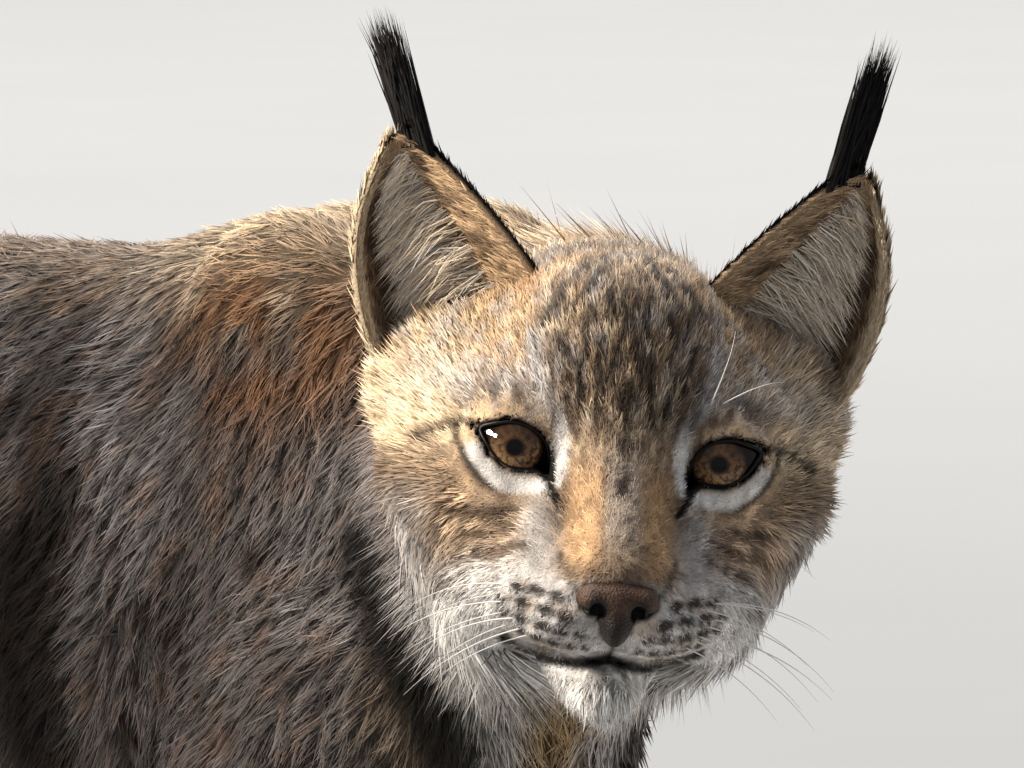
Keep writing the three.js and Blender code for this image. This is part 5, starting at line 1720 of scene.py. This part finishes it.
random = np.random.default_rng(71)
whiskers = []
for side, s in SIDES.items():
    for i, (a, u, size) in enumerate(WHISKER_SPOTS[:12]):
        if size < 1.2:
            continue
        back = -0.75 if s < 0 else -0.1
        out = [back, s * 1.0, 0.05 + 0.3 * (u + 45) / 12 + random.uniform(-0.06, 0.06)]
        long = random.uniform(44, 58)
        root = [47 - 0.55 * a, s * a, u]
        sag = 0.22 + 0.12 * random.random()
        whiskers.append(whisker(f"whisker_{side}_{i}", root, out, long, sag))
    for i, ((ahead, aside, up), long) in enumerate(HAIRS_OVER_EYE):
        root = [6, s * (27 + 4 * i), 18 + i]
        whiskers.append(whisker(f"brow_hair_{side}_{i}", root, [ahead, s * aside, up], long, 0.25, 0.2))
whiskers = joined(whiskers)
whiskers.name = whiskers.data.name = "whiskers"
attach(whiskers, "root")
print("whiskers have", len(whiskers.data.polygons), "faces")

# %% [markdown]
# Shader maths reads best as sums on values, so one small class wraps a socket and turns `+`, `-` and
# `*` into Math nodes. Everything else comes from `add`, which takes a node's type, its settings and
# its inputs.

# %% Shader maths
class Wire:
    def __init__(self, finish, socket):
        self.finish, self.socket = finish, socket

    def sum_with(self, operation, other, swap=False):
        first, second = (other, self) if swap else (self, other)
        return self.finish.add("ShaderNodeMath", {"operation": operation}, {0: first, 1: second})[0]

    def __add__(self, other):
        return self.sum_with("ADD", other)

    def __sub__(self, other):
        return self.sum_with("SUBTRACT", other)

    def __rsub__(self, other):
        return self.sum_with("SUBTRACT", other, swap=True)

    def __mul__(self, other):
        return self.sum_with("MULTIPLY", other)

    __radd__ = __add__
    __rmul__ = __mul__


class Finish:
    """A material under construction: its Principled shader, and helpers that add nodes to it."""

    def __init__(self, name, **constants):
        self.material = bpy.data.materials.new(name)
        self.material.use_nodes = True
        self.tree = self.material.node_tree
        self.shader = self.tree.nodes["Principled BSDF"]
        for socket, value in constants.items():
            self.shader.inputs[socket.replace("_", " ")].default_value = value

    def add(self, kind, settings=None, inputs=None):
        node = self.tree.nodes.new(kind)
        for setting, value in (settings or {}).items():
            setattr(node, setting, value)
        for key, value in (inputs or {}).items():
            if isinstance(value, Wire):
                self.tree.links.new(value.socket, node.inputs[key])
            else:
                node.inputs[key].default_value = value
        return [Wire(self, socket) for socket in node.outputs]

    def attribute(self, name):
        return self.add("ShaderNodeAttribute", {"attribute_name": name})

    def object_place(self):
        return self.add("ShaderNodeTexCoord")[3]

    def noise(self, place, scale, detail=3.0, stretch=None):
        if stretch is not None:
            place = self.add("ShaderNodeMapping", None, {"Vector": place, "Scale": stretch})[0]
        inputs = {"Vector": place, "Scale": scale, "Detail": detail, "Roughness": 0.55}
        return self.add("ShaderNodeTexNoise", None, inputs)[0]

    def step(self, value, low, high):
        """0 below `low`, 1 above `high`, soft between."""
        settings = {"interpolation_type": "SMOOTHSTEP"}
        inputs = {"Value": value, "From Min": low, "From Max": high}
        return self.add("ShaderNodeMapRange", settings, inputs)[0]

    def blend(self, factor, first, second):
        inputs = {0: factor, 6: first, 7: second}
        return self.add("ShaderNodeMix", {"data_type": "RGBA"}, inputs)[2]

    def shaded(self, colour, amount):
        """A colour made lighter or darker by a number."""
        inputs = {0: colour, 3: amount}
        return self.add("ShaderNodeVectorMath", {"operation": "SCALE"}, inputs)[0]

    def feed(self, socket, value):
        self.tree.links.new(value.socket, self.shader.inputs[socket])

    def bump(self, height, distance):
        inputs = {"Height": height, "Distance": distance}
        self.feed("Normal", self.add("ShaderNodeBump", None, inputs)[0])

    def cover(self, *things):
        for thing in things:
            thing.data.materials.clear()
            thing.data.materials.append(self.material)


def rgba(colour):
    return (*[float(c) for c in colour], 1.0)


def tint(red, green, blue):
    """A paint in the form that a colour socket takes."""
    return rgba(paint(red, green, blue))


# %% [markdown]
# Hair is a hard, clear sheath over a coloured core. Seen from far it is soft to the light, a little
# shiny along its length, with pale and dark hairs side by side. The paint comes from the piece's own
# colours, and a fine noise breaks it up from hair to hair.

# %% Hair and skin
hair = Finish("hair", Specular_IOR_Level=0.22)
painted = hair.attribute("coat")[0]
own_patch = hair.add("ShaderNodeUVMap", {"uv_map": "OFBake"})[0]
strand = hair.noise(own_patch, 1.0, 1.0, stretch=(2400, 120, 1))
hair.feed("Base Color", hair.shaded(painted, 0.4 + 1.2 * strand))
hair.feed("Roughness", 0.5 + 0.25 * strand)

hide = Finish("hide", Specular_IOR_Level=0.2)
painted = hide.attribute("coat")[0]
place = hide.object_place()
nap = hide.noise(place, 1400.0, 3.0)
hide.feed("Base Color", hide.shaded(painted, 0.6 + 0.8 * nap))
hide.feed("Roughness", 0.7 + 0.2 * nap)
hide.bump(nap, 0.0006)

bristle = Finish("bristle", Specular_IOR_Level=0.4)
tone = bristle.noise(bristle.object_place(), 60.0)
bristle.feed("Base Color", bristle.blend(tone, rgba(WHITE), rgba(PALE_GREY)))
bristle.feed("Roughness", 0.35 + 0.2 * tone)

# %% [markdown]
# The nose leather is a cobble of tiny raised cells, browner on the bridge, and painted shade darkens
# it in the nostrils and over its lower half.
# The rims of the lids are smooth, black and wet.

# %% Nose leather and lid rims
leather = Finish("nose_leather", Specular_IOR_Level=0.3)
place = leather.object_place()
cells = leather.add("ShaderNodeTexVoronoi", None, {"Vector": place, "Scale": 1100.0, "Randomness": 0.9})[0]
patch = leather.noise(place, 120.0)
# The stored darkness is painted shade in the nostrils and under the leather.
dark = leather.attribute("dark")[2]
tone = leather.blend(leather.step(patch, 0.35, 0.7), tint(46, 33, 25), tint(76, 54, 40))
tone = leather.blend(dark, tone, tint(7, 5, 5))
leather.feed("Base Color", leather.shaded(tone, 1.15 - 0.5 * cells))
leather.feed("Roughness", 0.45 + 0.25 * cells)
leather.bump(1.0 - cells, 0.0003)

wet = Finish("wet_rim", Specular_IOR_Level=0.2)
tone = wet.noise(wet.object_place(), 300.0)
wet.feed("Base Color", wet.blend(tone, tint(8, 6, 6), tint(20, 15, 13)))
wet.feed("Roughness", 0.32 + 0.2 * tone)

# %% [markdown]
# A lynx's iris is amber and mottled, with a dark ring at its edge and a small round pupil; its upper
# half is painted darker, and its top darker still, as painted shadow of the upper lid. The paint
# works outward from the pupil by distance in the plane of the iris, with fine spokes that a noise
# stretched around the ring gives.

# %% Eye
globe = Finish("eye", Roughness=0.04, IOR=1.38, Specular_IOR_Level=0.4)
x, y, z = globe.add("ShaderNodeSeparateXYZ", None, {0: globe.attribute("iris")[1]})
flat = globe.add("ShaderNodeCombineXYZ", None, {"X": x, "Y": y})[0]
radius = globe.add("ShaderNodeVectorMath", {"operation": "LENGTH"}, {0: flat})[1]
direction = globe.add("ShaderNodeVectorMath", {"operation": "NORMALIZE"}, {0: flat})[0]
spokes = globe.noise(direction, 9.0, 4.0)
mottle = globe.noise(flat, 0.55)
sclera = tint(22, 16, 13)
# Darker in the upper half and paler below: painted shadow of the upper lid.
amber = globe.blend(globe.step(y, 4.0, -6.0), tint(88, 66, 48), tint(146, 114, 80))
amber = globe.blend(globe.step(mottle, 0.42, 0.62), amber, tint(66, 51, 40))
amber = globe.shaded(amber, 0.3 + 1.3 * spokes)
# Darker still at the top: painted shadow of the upper lid.
amber = globe.shaded(amber, 1.0 - 0.6 * globe.step(y, 0.0, 8.0))
RINGS = [
    # where it starts, where it is full, and its colour: limbus, inner iris, sclera and pupil
    (6.8, 8.8, tint(30, 20, 14)),
    (3.6, 2.4, tint(52, 34, 22)),
    (IRIS_RADIUS - 0.2, IRIS_RADIUS + 0.6, sclera),
    (PUPIL_RADIUS + 0.15, PUPIL_RADIUS - 0.15, tint(6, 5, 5)),
]
for start, full, colour in RINGS:
    amber = globe.blend(globe.step(radius, start, full), amber, colour)
globe.feed("Base Color", globe.blend(globe.step(z, 2.0, -2.0), amber, sclera))
print("the eye is painted with", len(RINGS), "rings round a pupil of", 2 * PUPIL_RADIUS, "mm")

# %% [markdown]
# Each material goes on its pieces, and the solids that the pieces take the place of are hidden. The
# skin stands for all the flesh, since fur leaves no edge between a neck and a shoulder.

# %% Pieces and their finishes
hide.cover(skin)
hair.cover(*coats)
leather.cover(nose)
wet.cover(*rims)
globe.cover(*eyes)
bristle.cover(whiskers)
for side, ear in ears.items():
    hide.cover(ear)
    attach(ear, "root")
    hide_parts(f"ear_{side}")
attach(skin, "root")
FLESH = ["head", "neck", "torso", "tail"]
FLESH += [f"{part}_{end}_{side}" for part in ("leg", "paw") for end in ("front", "hind") for side in SIDES]
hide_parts(*FLESH)
print("the skin stands for", len(FLESH), "solids")

# %% [markdown]
# A studio like a museum's: a pale floor without an edge, a warm key from the upper left that rakes
# over the fur, a soft lamp above and behind the head, and a broad one that lights the floor behind
# the animal. The world's own light fills the shade. The camera stands 3.2 metres off with a long
# lens, so the face isn't drawn out.

# %% Studio
bpy.ops.object.select_all(action="DESELECT")
bpy.ops.mesh.primitive_plane_add(size=60)
floor = bpy.context.object
floor.name = floor.data.name = "studio_floor"
floor_finish = Finish("studio_floor", Roughness=0.9, Specular_IOR_Level=0.1)
tone = floor_finish.noise(floor_finish.object_place(), 1.5)
floor_finish.feed("Base Color", floor_finish.blend(tone, tint(222, 220, 215), tint(228, 226, 222)))
floor_finish.cover(floor)
floor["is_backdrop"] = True

FILL = 0.54
world = bpy.data.worlds.new("studio")
world.use_nodes = True
bpy.context.scene.world = world
background = world.node_tree.nodes["Background"]
background.inputs["Color"].default_value = tint(214, 216, 220)
background.inputs["Strength"].default_value = FILL

target = np.array(to_world(EYES_AT)) + np.array(head_axes @ Vector((EYE_DEPTH * MM, 0, 0)))
RIGHT = np.cross([0.0, 0.0, 1.0], CAMERA_BACK)
RIGHT /= np.linalg.norm(RIGHT)


def lamp(kind, name, aim, right, up, back, power, colour):
    """A lamp placed from the face, in metres to the camera's right, up and towards it."""
    place = target + right * RIGHT + np.array([0, 0, up]) + back * CAMERA_BACK
    bpy.ops.object.light_add(type=kind, location=place)
    print(name, "lamp", round(float(np.linalg.norm(place - target)), 2), "m from the face")
    light = bpy.context.object
    light.name = light.data.name = name
    light.data.energy = power
    light.data.color = colour
    light.rotation_euler = Vector(target + aim - place).to_track_quat("-Z", "Y").to_euler()
    return light.data


FACE = np.zeros(3)
CROWN = -0.2 * RIGHT
BACKGROUND = -15.0 * CAMERA_BACK
key = lamp("SPOT", "key", FACE, -2.25, 1.3, 0.45, 640.0, (1.0, 0.89, 0.75))
key.spot_size, key.spot_blend, key.shadow_soft_size = math.radians(15), 1.0, 0.2
top = lamp("AREA", "top", CROWN, -0.7, 2.0, -1.2, 60.0, (1.0, 0.94, 0.86))
top.size = 1.2
backdrop = lamp("AREA", "backdrop", BACKGROUND, 0.0, 8.0, -14.0, 1500.0, (1.0, 1.0, 1.0))
backdrop.size = 22.0

# %% [markdown]
# The camera looks along the measured direction. Its shift puts the point between the eyes where the
# picture has it.

# %% Camera
DISTANCE, SENSOR, LENS = 3.2, 36.0, 360.0
EYES_IN_PICTURE = (617, 456)
PICTURE = (1024, 768)
lens = bpy.data.cameras.new("camera")
lens.sensor_width, lens.lens = SENSOR, LENS
lens.clip_end = 200
lens.shift_x = (PICTURE[0] / 2 - EYES_IN_PICTURE[0]) / PICTURE[0]
lens.shift_y = (EYES_IN_PICTURE[1] - PICTURE[1] / 2) / PICTURE[0]
camera = bpy.data.objects.new("camera", lens)
bpy.context.scene.collection.objects.link(camera)
camera.location = target + DISTANCE * CAMERA_BACK
camera.rotation_euler = Vector(CAMERA_BACK).to_track_quat("Z", "Y").to_euler()
bpy.context.scene.camera = camera
bpy.context.scene.view_settings.view_transform = "Standard"
print("camera", DISTANCE, "m from the eyes")

# %% The sizes, and the end
dressed_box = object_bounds()
for axis, low, high, low_cad, high_cad in zip("XYZ", *dressed_box, *solid_box):
    print(axis, "visual", round(low, 3), round(high, 3), "solids", round(low_cad, 3), round(high_cad, 3))
